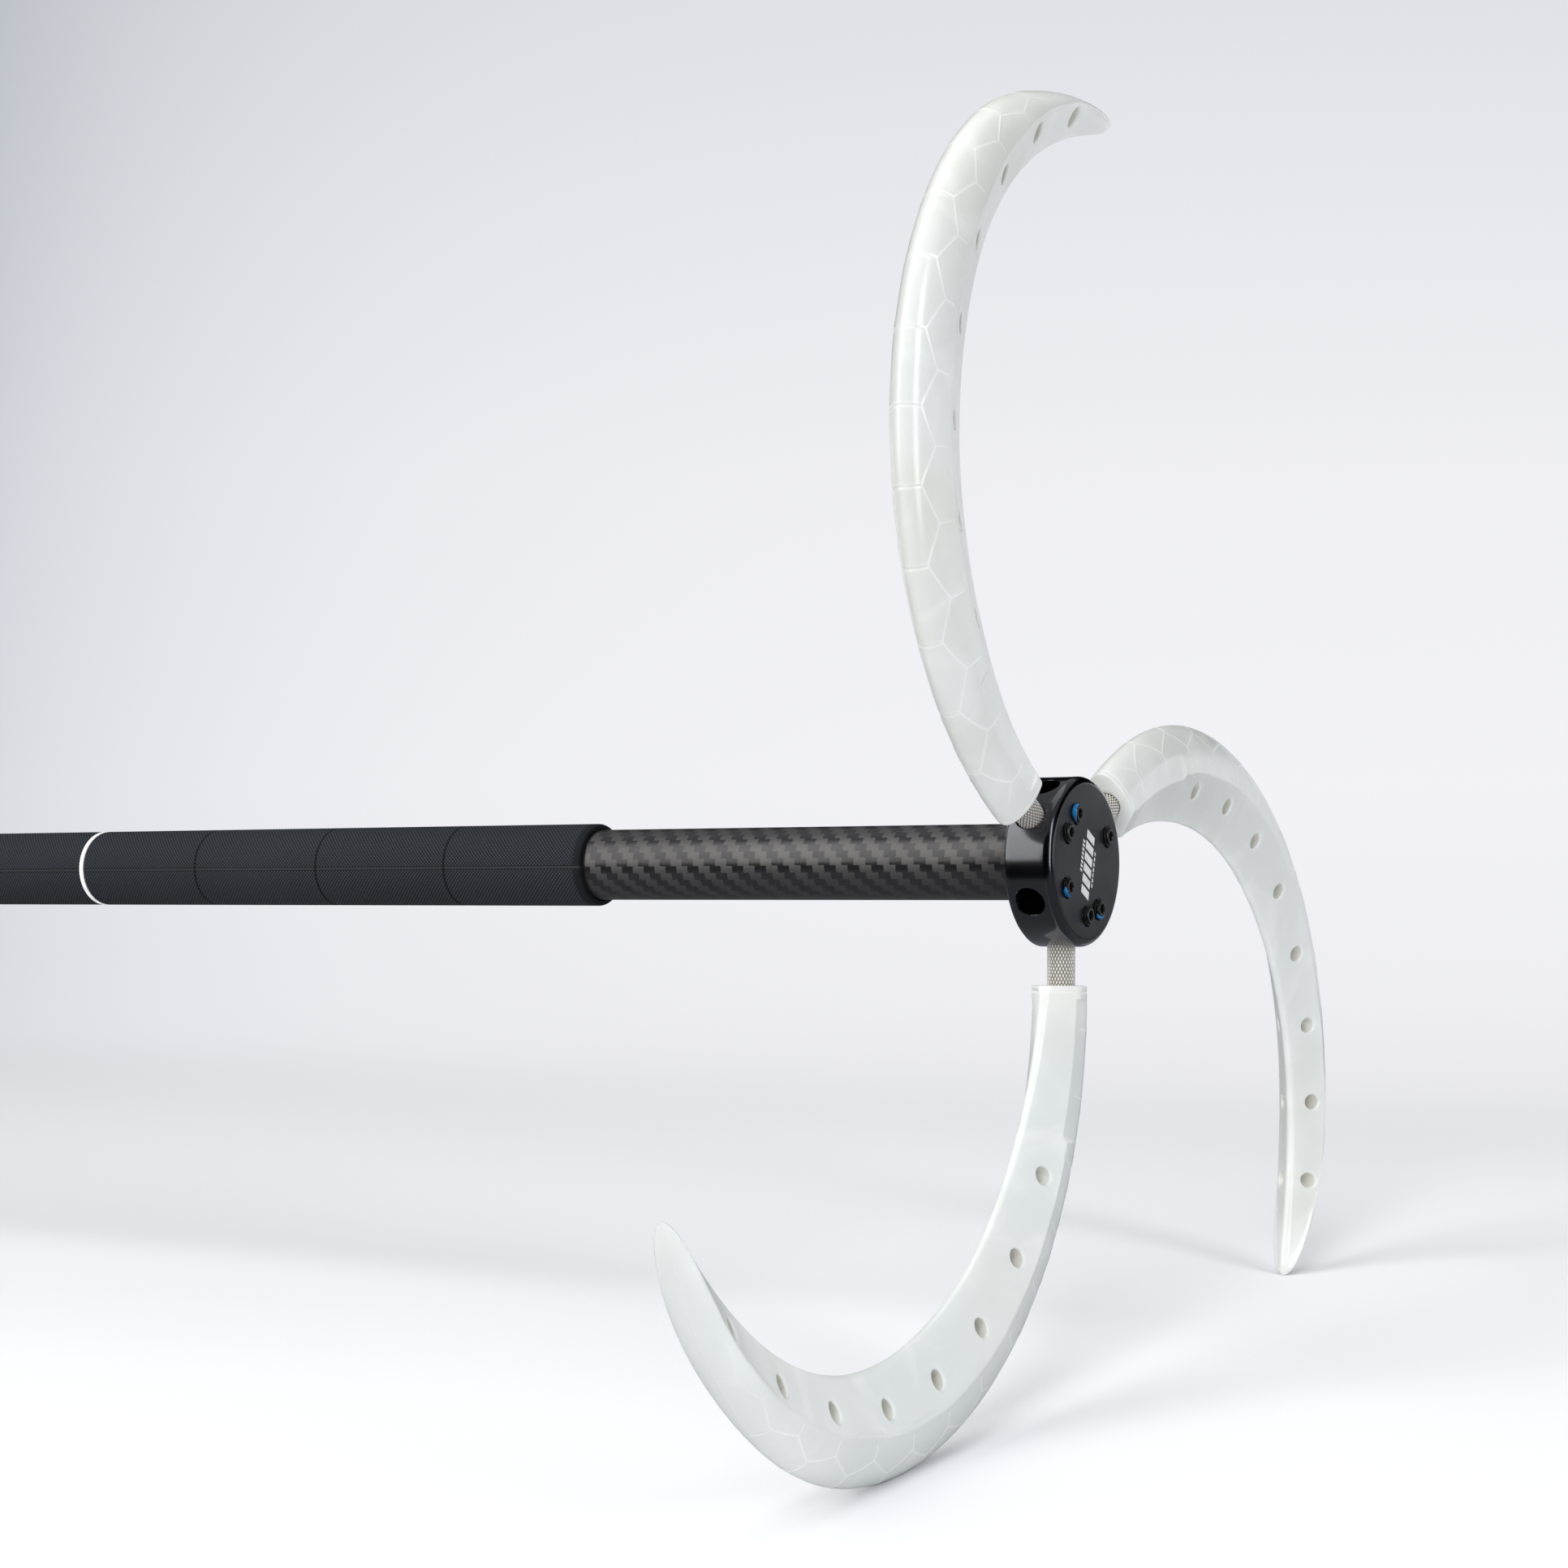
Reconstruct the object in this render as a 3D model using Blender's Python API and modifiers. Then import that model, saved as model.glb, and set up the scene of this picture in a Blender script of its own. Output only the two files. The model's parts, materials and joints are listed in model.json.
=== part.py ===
"""Rolling contact staff: a carbon tube with grips and a wheel of three claws at each end.

Metres, +Z up. The origin is the middle of the staff, on its axis, which runs along X.
Each wheel stands in a plane square to the axis, on one claw's back and the next claw's tip.
"""

import math

import bmesh
import bpy
import numpy as np
from mathutils import Matrix, Vector

MM = 0.001
GAP = 0.3 * MM

# Staff
STAFF_LENGTH = 1400 * MM
TUBE_RADIUS = 11.0 * MM
TUBE_WALL = 2.0 * MM
TUBE_CHAMFER = 0.4 * MM
GRIP_RADIUS = 12.9 * MM
GRIP_LIP = 1.4 * MM
GRIP_PITCH = 53.34 * MM
GRIP_PITCHES_TO_RING = 6
GRIP_PITCHES_PAST_RING = 4
RING_RADIUS = 13.0 * MM
RING_WIDTH = 1.6 * MM

# Hub
HUB_RADIUS = 24.2 * MM
HUB_THICKNESS = 14.6 * MM
HUB_FRONT_ROUND = 2.6 * MM
HUB_BACK_CHAMFER = 0.6 * MM
SPIGOT_LENGTH = 30.0 * MM
SOCKET_INSET = 8.0 * MM
SOCKET_FLOOR = 12.2 * MM
# Sockets for three claws and for four share one bore: angles from that bore, in degrees.
SOCKET_ANGLES = (-120, 0, 120, 90, 180, 270)
SCREW_CIRCLE = 15.3 * MM

# Claw stub and its clamping set screw, an M5 x 5
STUB_RADIUS = 4.0 * MM
STUB_CHAMFER = 0.5 * MM
SCREW_RADIUS = 2.5 * MM
SCREW_LENGTH = 5.0 * MM
SCREW_CHAMFER = 0.5 * MM
HEX_ACROSS_FLATS = 2.5 * MM
HEX_DEPTH = 2.5 * MM

# Claw: a hooked arc in the wheel's plane, struck about a centre beside the stub's axis
SHARED_SOCKET_ANGLE = 24.8
CLAW_CENTRE_OUT = 35.2 * MM
CLAW_CENTRE_SIDE = 111.5 * MM
CLAW_TIP_ANGLE = 150.8
CLAW_TIP_RADIUS = 105.6 * MM
# Angle along the arc, then the radii of the inner ridge, the widest line and the back, in mm,
# and the half width at the widest line.
CLAW_STATIONS = (
    (0, 99.6, 108.2, 122.0, 7.7),
    (25, 94.5, 109.2, 124.4, 7.6),
    (60, 92.6, 110.6, 124.9, 7.8),
    (100, 95.3, 109.2, 121.4, 7.9),
    (127, 97.3, 108.2, 113.0, 7.9),
    (144, 100.9, 105.9, 107.2, 5.8),
)
CLAW_STEPS = 24
CLAW_STEP_GROWTH = 1.5
CLAW_RIDGE_HALF = 0.9 * MM
CLAW_BACK_POINTS = 7
CLAW_BACK_POWER = 1.8
CLAW_HOLES = 8
CLAW_HOLE_RADIUS = 2.5 * MM
CLAW_HOLE_CIRCLE = 104.1 * MM
CLAW_HOLE_START = 30.0
CLAW_HOLE_PITCH = 14.65
STUB_DEPTH_IN_CLAW = 22.0 * MM

SIDES = (("right", 1), ("left", -1))
ROUND_STEPS = 40
SMALL_STEPS = 14
HOLE_STEPS = 12
CUT_CLEAR = 3.0 * MM
MERGE_DISTANCE = 0.01 * MM
SMOOTH_ANGLE = math.radians(35)

CARBON = ("carbon", (0.030, 0.031, 0.034), 0.45, 0.0)
GRIP = ("grip_rubber", (0.026, 0.030, 0.036), 0.85, 0.0)
WHITE = ("ring_white", (0.90, 0.90, 0.90), 0.5, 0.0)
ANODISED = ("black_anodised", (0.045, 0.046, 0.052), 0.35, 0.6)
STEEL = ("knurled_steel", (0.52, 0.49, 0.45), 0.35, 1.0)
BLACK_OXIDE = ("black_oxide", (0.02, 0.02, 0.02), 0.4, 0.8)
MILKY = ("milky_polymer", (0.72, 0.76, 0.73), 0.4, 0.0)


def clear_scene():
    for thing in list(bpy.data.objects):
        bpy.data.objects.remove(thing, do_unlink=True)


def new_collection(name):
    collection = bpy.data.collections.new(name)
    bpy.context.scene.collection.children.link(collection)
    return collection


def get_material(spec):
    name, colour, roughness, metallic = spec
    found = bpy.data.materials.get(name)
    if found:
        return found
    made = bpy.data.materials.new(name)
    made.use_nodes = True
    shader = made.node_tree.nodes["Principled BSDF"]
    shader.inputs["Base Color"].default_value = (*colour, 1.0)
    shader.inputs["Roughness"].default_value = roughness
    shader.inputs["Metallic"].default_value = metallic
    return made


def place(name, mesh, matrix, material, collection):
    """Make a named object of a mesh."""
    made = bpy.data.objects.new(name, mesh)
    made.matrix_world = matrix
    if not mesh.materials:
        mesh.materials.append(get_material(material))
    collection.objects.link(made)
    return made


def turned_mesh(name, profile, steps, closed=False):
    """Mesh of a profile of (radius, height) points, turned about Z by a Screw modifier."""
    mesh = bpy.data.meshes.new(name)
    points = [(radius, 0.0, height) for radius, height in profile]
    edges = [(i, i + 1) for i in range(len(points) - 1)]
    if closed:
        edges.append((len(points) - 1, 0))
    mesh.from_pydata(points, edges, [])
    guide = bpy.data.objects.new(name + "_profile", mesh)
    bpy.context.scene.collection.objects.link(guide)
    screw = guide.modifiers.new("turn", "SCREW")
    screw.axis = "Z"
    screw.steps = steps
    screw.render_steps = steps
    screw.use_merge_vertices = True
    screw.merge_threshold = MERGE_DISTANCE
    return baked(guide)


def baked(thing):
    """Mesh of an object with its modifiers applied; the object goes."""
    bpy.context.view_layer.update()
    evaluated = thing.evaluated_get(bpy.context.evaluated_depsgraph_get())
    mesh = bpy.data.meshes.new_from_object(evaluated)
    mesh.name = thing.name.removesuffix("_profile")
    bpy.data.objects.remove(thing, do_unlink=True)
    mesh.shade_smooth()
    mesh.set_sharp_from_angle(angle=SMOOTH_ANGLE)
    return mesh


def quarter_round(radius, height, size, start, count=3):
    """Points of a quarter circle about (radius, height), from the start angle in degrees, clockwise."""
    angles = [math.radians(start - 90 * i / count) for i in range(count + 1)]
    return [(radius + size * math.cos(a), height + size * math.sin(a)) for a in angles]


def basis(x_axis, y_axis, origin):
    """Rigid matrix whose local X and Y lie along two square directions."""
    z_axis = x_axis.cross(y_axis)
    return Matrix.Translation(origin) @ Matrix((x_axis, y_axis, z_axis)).transposed().to_4x4()


def axis_along(direction, origin):
    """Rigid matrix whose local Z lies along a direction."""
    return Matrix.Translation(origin) @ direction.to_track_quat("Z", "Y").to_matrix().to_4x4()


def add_cylinder(bm, matrix, radius, length, steps):
    """Closed cylinder from the matrix's origin, along its local Z."""
    bmesh.ops.create_cone(
        bm, cap_ends=True, segments=steps, radius1=radius, radius2=radius, depth=length,
        matrix=matrix @ Matrix.Translation((0, 0, length / 2)),
    )


def cutter(name, bm, collection):
    mesh = bpy.data.meshes.new(name)
    bm.to_mesh(mesh)
    bm.free()
    made = bpy.data.objects.new(name, mesh)
    made.hide_render = True
    made.display_type = "WIRE"
    collection.objects.link(made)
    return made


def cut(thing, tool):
    boolean = thing.modifiers.new("cut", "BOOLEAN")
    boolean.operation = "DIFFERENCE"
    boolean.solver = "EXACT"
    boolean.object = tool


# Staff pieces, turned about X from the middle outwards

ALONG_X = Matrix.Rotation(math.radians(90), 4, "Y")


def tube_profile(outer, inner, low, high, chamfer):
    """Closed profile of a plain tube with chamfered ends."""
    return [
        (inner, high),
        (outer - chamfer, high),
        (outer, high - chamfer),
        (outer, low + chamfer),
        (outer - chamfer, low),
        (inner, low),
    ]


def make_staff(parts):
    half_tube = STAFF_LENGTH / 2 - HUB_THICKNESS - GAP
    tube = tube_profile(TUBE_RADIUS, TUBE_RADIUS - TUBE_WALL, -half_tube, half_tube, TUBE_CHAMFER)
    mesh = turned_mesh("shaft_tube", tube, ROUND_STEPS, closed=True)
    place("shaft_tube", mesh, ALONG_X, CARBON, parts)

    ring_at = GRIP_PITCH * GRIP_PITCHES_TO_RING
    sleeve_bore = TUBE_RADIUS + GAP
    half_centre = ring_at - RING_WIDTH / 2 - GAP
    centre = tube_profile(GRIP_RADIUS, sleeve_bore, -half_centre, half_centre, TUBE_CHAMFER)
    mesh = turned_mesh("grip_center", centre, ROUND_STEPS, closed=True)
    place("grip_center", mesh, ALONG_X, GRIP, parts)

    half_ring = RING_WIDTH / 2
    ring = tube_profile(RING_RADIUS, sleeve_bore, -half_ring, half_ring, TUBE_CHAMFER / 2)
    ring_mesh = turned_mesh("ring", ring, ROUND_STEPS, closed=True)

    start = ring_at + RING_WIDTH / 2 + GAP
    end = ring_at + GRIP_PITCH * GRIP_PITCHES_PAST_RING
    sleeve = [(sleeve_bore, end)]
    sleeve += quarter_round(GRIP_RADIUS - GRIP_LIP, end - GRIP_LIP, GRIP_LIP, 90)
    sleeve += [(GRIP_RADIUS, start + TUBE_CHAMFER), (GRIP_RADIUS - TUBE_CHAMFER, start), (sleeve_bore, start)]
    sleeve_mesh = turned_mesh("grip_end", sleeve, ROUND_STEPS, closed=True)

    for side, sign in SIDES:
        facing = axis_along(Vector((sign, 0, 0)), Vector())
        place(f"grip_end_{side}", sleeve_mesh, facing, GRIP, parts)
        ring_place = axis_along(Vector((sign, 0, 0)), Vector((sign * ring_at, 0, 0)))
        place(f"marker_ring_{side}", ring_mesh, ring_place, WHITE, parts)


# Wheel pieces

def radial(angle):
    """Unit direction in the wheel's plane, at an angle from +Y towards +Z, in degrees."""
    turn = math.radians(angle)
    return Vector((0, math.cos(turn), math.sin(turn)))


def hub_face(sign):
    return Vector((sign * STAFF_LENGTH / 2, 0, 0))


def hub_mesh():
    """Hub with its face at the origin, facing +Z, and its spigot below."""
    spigot = TUBE_RADIUS - TUBE_WALL - GAP
    bottom = -HUB_THICKNESS - SPIGOT_LENGTH
    profile = [(0, 0)]
    profile += quarter_round(HUB_RADIUS - HUB_FRONT_ROUND, -HUB_FRONT_ROUND, HUB_FRONT_ROUND, 90)
    profile += [
        (HUB_RADIUS, HUB_BACK_CHAMFER - HUB_THICKNESS),
        (HUB_RADIUS - HUB_BACK_CHAMFER, -HUB_THICKNESS),
        (spigot, -HUB_THICKNESS),
        (spigot, bottom + HUB_BACK_CHAMFER),
        (spigot - HUB_BACK_CHAMFER, bottom),
        (0, bottom),
    ]
    return turned_mesh("hub", profile, ROUND_STEPS)


def make_hub(side, sign, mesh, parts, cutters):
    hub = place(f"hub_{side}", mesh, axis_along(Vector((sign, 0, 0)), hub_face(sign)), ANODISED, parts)
    bm = bmesh.new()
    outward = Vector((sign, 0, 0))
    plane = hub_face(sign) - outward * SOCKET_INSET
    for angle in SOCKET_ANGLES:
        direction = radial(SHARED_SOCKET_ANGLE + angle)
        floor = plane + direction * SOCKET_FLOOR
        reach = HUB_RADIUS - SOCKET_FLOOR + CUT_CLEAR
        add_cylinder(bm, axis_along(direction, floor), STUB_RADIUS + GAP, reach, SMALL_STEPS)
    tool = cutter(f"hub_{side}_sockets", bm, cutters)
    cut(hub, tool)
    bm = bmesh.new()
    for angle in SOCKET_ANGLES:
        start = plane + radial(SHARED_SOCKET_ANGLE + angle) * SCREW_CIRCLE + outward * STUB_RADIUS / 2
        depth = SOCKET_INSET - STUB_RADIUS / 2 + CUT_CLEAR
        add_cylinder(bm, axis_along(outward, start), SCREW_RADIUS + GAP, depth, SMALL_STEPS)
    tool = cutter(f"hub_{side}_screw_holes", bm, cutters)
    cut(hub, tool)


def screw_mesh(cutters):
    """M5 set screw with its socket end at the origin, facing +Z."""
    profile = [
        (0, 0),
        (SCREW_RADIUS - SCREW_CHAMFER, 0),
        (SCREW_RADIUS, -SCREW_CHAMFER),
        (SCREW_RADIUS, SCREW_CHAMFER - SCREW_LENGTH),
        (SCREW_RADIUS - SCREW_CHAMFER, -SCREW_LENGTH),
        (0, -SCREW_LENGTH),
    ]
    mesh = turned_mesh("set_screw", profile, SMALL_STEPS)
    thing = bpy.data.objects.new("set_screw", mesh)
    bpy.context.scene.collection.objects.link(thing)
    bm = bmesh.new()
    corner = HEX_ACROSS_FLATS / 2 / math.cos(math.radians(30))
    add_cylinder(bm, Matrix.Translation((0, 0, -HEX_DEPTH)), corner, HEX_DEPTH + CUT_CLEAR, 6)
    cut(thing, cutter("hex_socket", bm, cutters))
    return baked(thing)


def hermite(x, knots, values):
    """Smooth curve through knots, with finite-difference slopes."""
    slopes = np.gradient(values, knots)
    i = min(max(int(np.searchsorted(knots, x)) - 1, 0), len(knots) - 2)
    span = knots[i + 1] - knots[i]
    t = (x - knots[i]) / span
    start = (1 + 2 * t) * (1 - t) ** 2 * values[i] + t * (1 - t) ** 2 * span * slopes[i]
    end = t * t * (3 - 2 * t) * values[i + 1] + t * t * (t - 1) * span * slopes[i + 1]
    return start + end


def claw_section(angle):
    """Ridge, widest and back radii and half width at an angle along the claw.

    The curves run over the square root of the angle left, so that the tip closes round.
    """
    tip = CLAW_TIP_RADIUS / MM
    rows = [row[1:] for row in CLAW_STATIONS] + [(tip, tip, tip, 0.0)]
    angles = [row[0] for row in CLAW_STATIONS] + [CLAW_TIP_ANGLE]
    knots = -np.sqrt(CLAW_TIP_ANGLE - np.array(angles))
    here = -math.sqrt(CLAW_TIP_ANGLE - angle)
    return [hermite(here, knots, np.array(column)) * MM for column in zip(*rows)]


def claw_outline(angle):
    """Section as (radius, side) points: a ridged inner face and a rounded back."""
    ridge, widest, back, half = claw_section(angle)
    nose = min(CLAW_RIDGE_HALF, half / 3)
    points = [(ridge, nose)]
    for i in range(CLAW_BACK_POINTS):
        turn = math.pi * i / (CLAW_BACK_POINTS - 1)
        side = math.copysign(abs(math.cos(turn)) ** (2 / CLAW_BACK_POWER), math.cos(turn))
        height = math.sin(turn) ** (2 / CLAW_BACK_POWER)
        points.append((widest + (back - widest) * height, half * side))
    points.append((ridge, -nose))
    return points


def claw_point(angle, radius, side):
    """Place on the claw: X out along the stub from the staff's axis, Y back, Z across."""
    turn = math.radians(angle)
    out = CLAW_CENTRE_OUT + radius * math.sin(turn)
    hook = CLAW_CENTRE_SIDE - radius * math.cos(turn)
    return Vector((out - HUB_RADIUS, -hook, side))


def claw_mesh(cutters):
    """Loft of the claw's changing section, with its row of holes and the stub's bore."""
    bm = bmesh.new()
    rings = []
    for i in range(CLAW_STEPS):
        angle = CLAW_TIP_ANGLE * (1 - (1 - i / CLAW_STEPS) ** CLAW_STEP_GROWTH)
        rings.append([bm.verts.new(claw_point(angle, r, s)) for r, s in claw_outline(angle)])
    tip = bm.verts.new(claw_point(CLAW_TIP_ANGLE, CLAW_TIP_RADIUS, 0))
    bm.faces.new(rings[0])
    for near, far in zip(rings, rings[1:]):
        for j in range(len(near)):
            k = (j + 1) % len(near)
            bm.faces.new((near[k], near[j], far[j], far[k]))
    last = rings[-1]
    for j in range(len(last)):
        bm.faces.new((last[(j + 1) % len(last)], last[j], tip))
    bmesh.ops.recalc_face_normals(bm, faces=bm.faces)
    mesh = bpy.data.meshes.new("claw")
    bm.to_mesh(mesh)
    bm.free()
    thing = bpy.data.objects.new("claw", mesh)
    bpy.context.scene.collection.objects.link(thing)

    bm = bmesh.new()
    widest = max(row[4] for row in CLAW_STATIONS) * MM + CUT_CLEAR
    for i in range(CLAW_HOLES):
        centre = claw_point(CLAW_HOLE_START + i * CLAW_HOLE_PITCH, CLAW_HOLE_CIRCLE, -widest)
        add_cylinder(bm, Matrix.Translation(centre), CLAW_HOLE_RADIUS, 2 * widest, HOLE_STEPS)
    cut(thing, cutter("claw_holes", bm, cutters))

    bm = bmesh.new()
    mouth = CLAW_CENTRE_OUT - HUB_RADIUS - CUT_CLEAR
    depth = STUB_DEPTH_IN_CLAW + CUT_CLEAR + GAP
    bore = axis_along(Vector((1, 0, 0)), Vector((mouth, 0, 0)))
    add_cylinder(bm, bore, STUB_RADIUS + GAP, depth, SMALL_STEPS)
    cut(thing, cutter("claw_bore", bm, cutters))
    return baked(thing)


def stub_mesh():
    """Stub with its hub end at the origin, running along +Z into the claw."""
    length = CLAW_CENTRE_OUT + STUB_DEPTH_IN_CLAW - SOCKET_FLOOR - GAP
    profile = [
        (0, length),
        (STUB_RADIUS - STUB_CHAMFER, length),
        (STUB_RADIUS, length - STUB_CHAMFER),
        (STUB_RADIUS, STUB_CHAMFER),
        (STUB_RADIUS - STUB_CHAMFER, 0),
        (0, 0),
    ]
    return turned_mesh("stub", profile, SMALL_STEPS)


def make_wheels(parts, cutters):
    hub = hub_mesh()
    stub = stub_mesh()
    claw = claw_mesh(cutters)
    screw = screw_mesh(cutters)
    for side, sign in SIDES:
        make_hub(side, sign, hub, parts, cutters)
        outward = Vector((sign, 0, 0))
        plane = hub_face(sign) - outward * SOCKET_INSET
        screw_top = SCREW_LENGTH + GAP + STUB_RADIUS
        for number, angle in enumerate(SOCKET_ANGLES, start=1):
            direction = radial(SHARED_SOCKET_ANGLE + angle)
            top = plane + direction * SCREW_CIRCLE + outward * screw_top
            place(f"set_screw_{side}_{number}", screw, axis_along(outward, top), BLACK_OXIDE, parts)
        for number in range(1, 4):
            direction = radial(SHARED_SOCKET_ANGLE + SOCKET_ANGLES[number - 1])
            foot = plane + direction * (SOCKET_FLOOR + GAP)
            place(f"stub_{side}_{number}", stub, axis_along(direction, foot), STEEL, parts)
            across = Vector((1, 0, 0)).cross(direction)
            mouth = plane + direction * HUB_RADIUS
            place(f"claw_{side}_{number}", claw, basis(direction, across, mouth), MILKY, parts)


def main():
    clear_scene()
    parts = new_collection("contact_staff")
    cutters = new_collection("cutters")
    make_staff(parts)
    make_wheels(parts, cutters)


main()
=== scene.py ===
"""Looks of the rolling contact staff: fine meshes, materials, and a plain soft studio round them.

Metres, +Z up. X runs along the staff. Each wheel lies in a plane square to X.
"""

import json
import math

import bmesh
import bpy
import numpy as np
from mathutils import Matrix, Vector


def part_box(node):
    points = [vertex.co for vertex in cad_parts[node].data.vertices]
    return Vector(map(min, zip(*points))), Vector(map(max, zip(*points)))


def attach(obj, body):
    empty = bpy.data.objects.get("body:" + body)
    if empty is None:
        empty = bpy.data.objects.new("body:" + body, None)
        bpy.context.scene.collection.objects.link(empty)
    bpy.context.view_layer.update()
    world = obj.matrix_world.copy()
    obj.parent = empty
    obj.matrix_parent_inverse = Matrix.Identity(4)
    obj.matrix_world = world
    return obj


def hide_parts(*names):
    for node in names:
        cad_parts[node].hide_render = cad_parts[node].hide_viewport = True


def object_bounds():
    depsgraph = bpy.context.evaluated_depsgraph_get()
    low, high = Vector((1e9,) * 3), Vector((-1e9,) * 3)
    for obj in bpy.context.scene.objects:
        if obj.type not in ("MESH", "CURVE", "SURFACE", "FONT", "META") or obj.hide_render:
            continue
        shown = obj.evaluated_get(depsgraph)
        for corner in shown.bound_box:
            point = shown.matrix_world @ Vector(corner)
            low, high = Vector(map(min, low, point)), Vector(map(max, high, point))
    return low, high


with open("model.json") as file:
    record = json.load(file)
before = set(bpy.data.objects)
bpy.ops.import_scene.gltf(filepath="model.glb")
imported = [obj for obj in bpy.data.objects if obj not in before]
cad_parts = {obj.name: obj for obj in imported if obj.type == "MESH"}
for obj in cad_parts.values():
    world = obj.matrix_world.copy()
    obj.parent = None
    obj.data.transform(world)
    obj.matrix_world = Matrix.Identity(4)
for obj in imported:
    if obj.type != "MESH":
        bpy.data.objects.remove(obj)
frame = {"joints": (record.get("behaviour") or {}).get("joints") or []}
CAD_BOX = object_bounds()

MM = 0.001
SIDES = (("right", 1), ("left", -1))
SCREWS = range(1, 7)
CLAWS = range(1, 4)
JOINTS = {joint["name"]: joint for joint in frame["joints"]}


# Sizes taken from the frame

def node_box(name):
    low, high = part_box(name)
    return np.array(low), np.array(high)


def node_radius(name):
    low, high = node_box(name)
    return (high[2] - low[2]) / 2


HUB_RADIUS = node_radius("hub_right")
FACE_X = node_box("hub_right")[1][0]
TUBE_END = node_box("shaft_tube")[1][0]
TUBE_RADIUS = node_radius("shaft_tube")
GRIP_RADIUS = node_radius("grip_center")
RING_RADIUS = node_radius("marker_ring_right")
GAP = 0.3 * MM
HUB_BACK = FACE_X - TUBE_END - GAP
FLOOR_Z = CAD_BOX[0].z

# Sizes of the finer shapes

TUBE_WALL = 2.0 * MM
GRIP_END = node_box("grip_end_right")[1][0]
GRIP_PITCH = GRIP_END / 10
LAST_MARK = 10
HUB_FRONT_ROUND = 2.6 * MM
HUB_BACK_CHAMFER = 0.6 * MM
SPIGOT_RADIUS = 8.7 * MM
SPIGOT_LENGTH = 30.0 * MM
SPIGOT_CHAMFER = 0.6 * MM
SOCKET_INSET = 8.0 * MM
SOCKET_FLOOR = 12.2 * MM
SOCKET_RADIUS = 4.3 * MM
SOCKET_CHAMFER = 0.45 * MM
SCREW_COUNTERSINK = 3.35 * MM
SCREW_HOLE = 2.65 * MM
SMOOTH_ANGLE = 32
# Carbon tows in mm and their number round the tube, and the grip's diamonds round it
TOW = 2.0
TOWS_ROUND = 32
DOTS_ROUND = 64
STUB_RADIUS = 4.0 * MM
STUB_REACH = 57.2 * MM
STUB_CHAMFER = 0.5 * MM
KNURL_TEETH = 26
KNURL_DEPTH = 0.32 * MM
KNURL_HELIX = math.radians(27)
KNURL_ROW = 0.19 * MM
KNURL_RIDGE = 1.9
SCREW_RADIUS = 2.5 * MM
SCREW_LENGTH = 5.0 * MM
SCREW_PITCH = 0.8 * MM
THREAD_DEPTH = 0.46 * MM
SCREW_CHAMFER = 0.45 * MM
HEX_ACROSS_FLATS = 2.5 * MM
HEX_DEPTH = 2.4 * MM


# Node helpers

class Shading:
    """A material's node tree, built by short calls."""

    def __init__(self, name):
        self.material = bpy.data.materials.new(name)
        self.material.use_nodes = True
        self.tree = self.material.node_tree
        self.tree.nodes.clear()

    def node(self, kind, inputs=None, **settings):
        made = self.tree.nodes.new("ShaderNode" + kind)
        for key, value in settings.items():
            setattr(made, key, value)
        for key, value in (inputs or {}).items():
            if isinstance(value, bpy.types.NodeSocket):
                self.tree.links.new(value, made.inputs[key])
            else:
                made.inputs[key].default_value = value
        return made

    def math(self, operation, first, second=None):
        inputs = {0: first}
        if second is not None:
            inputs[1] = second
        return self.node("Math", inputs, operation=operation).outputs[0]

    def add(self, first, second):
        return self.math("ADD", first, second)

    def sub(self, first, second):
        return self.math("SUBTRACT", first, second)

    def mul(self, first, second):
        return self.math("MULTIPLY", first, second)

    def size(self, value):
        return self.math("ABSOLUTE", value)

    def position(self, space="Object"):
        return self.node("TexCoord").outputs[space]

    def split(self, vector):
        return self.node("SeparateXYZ", {0: vector}).outputs

    def noise(self, scale, detail=4.0, vector=None, roughness=0.5, distortion=0.0):
        inputs = {"Scale": scale, "Detail": detail, "Roughness": roughness, "Distortion": distortion}
        inputs["Vector"] = vector or self.position()
        return self.node("TexNoise", inputs).outputs["Fac"]

    def remap(self, value, low, high, to_low, to_high, smooth=False):
        inputs = {"Value": value, "From Min": low, "From Max": high, "To Min": to_low, "To Max": to_high}
        kind = "SMOOTHSTEP" if smooth else "LINEAR"
        return self.node("MapRange", inputs, interpolation_type=kind).outputs["Result"]

    def spread(self, noise, to_low, to_high):
        """Maps the middle of a noise's values to a range."""
        return self.remap(noise, 0.3, 0.7, to_low, to_high)

    def mottled(self, noise, first, second):
        return self.blend(self.spread(noise, 0.0, 1.0), colour(first), colour(second))

    def blend(self, factor, first, second):
        return self.node("Mix", {0: factor, 6: first, 7: second}, data_type="RGBA").outputs[2]

    def vector(self, x, y, z=0.0):
        return self.node("CombineXYZ", {0: x, 1: y, 2: z}).outputs[0]

    def bump(self, height, distance, strength=1.0, normal=None):
        inputs = {"Height": height, "Distance": distance, "Strength": strength}
        if normal is not None:
            inputs["Normal"] = normal
        return self.node("Bump", inputs).outputs["Normal"]

    def surface(self, scattering="RANDOM_WALK", **inputs):
        named = {key.replace("_", " "): value for key, value in inputs.items()}
        shader = self.node("BsdfPrincipled", named, subsurface_method=scattering)
        output = self.node("OutputMaterial")
        self.tree.links.new(shader.outputs[0], output.inputs[0])
        return self.material


def colour(text):
    """Linear RGBA of an sRGB hex code."""
    parts = [int(text[i : i + 2], 16) / 255 for i in (0, 2, 4)]
    return (*[c / 12.92 if c <= 0.04045 else ((c + 0.055) / 1.055) ** 2.4 for c in parts], 1.0)


# Materials

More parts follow.
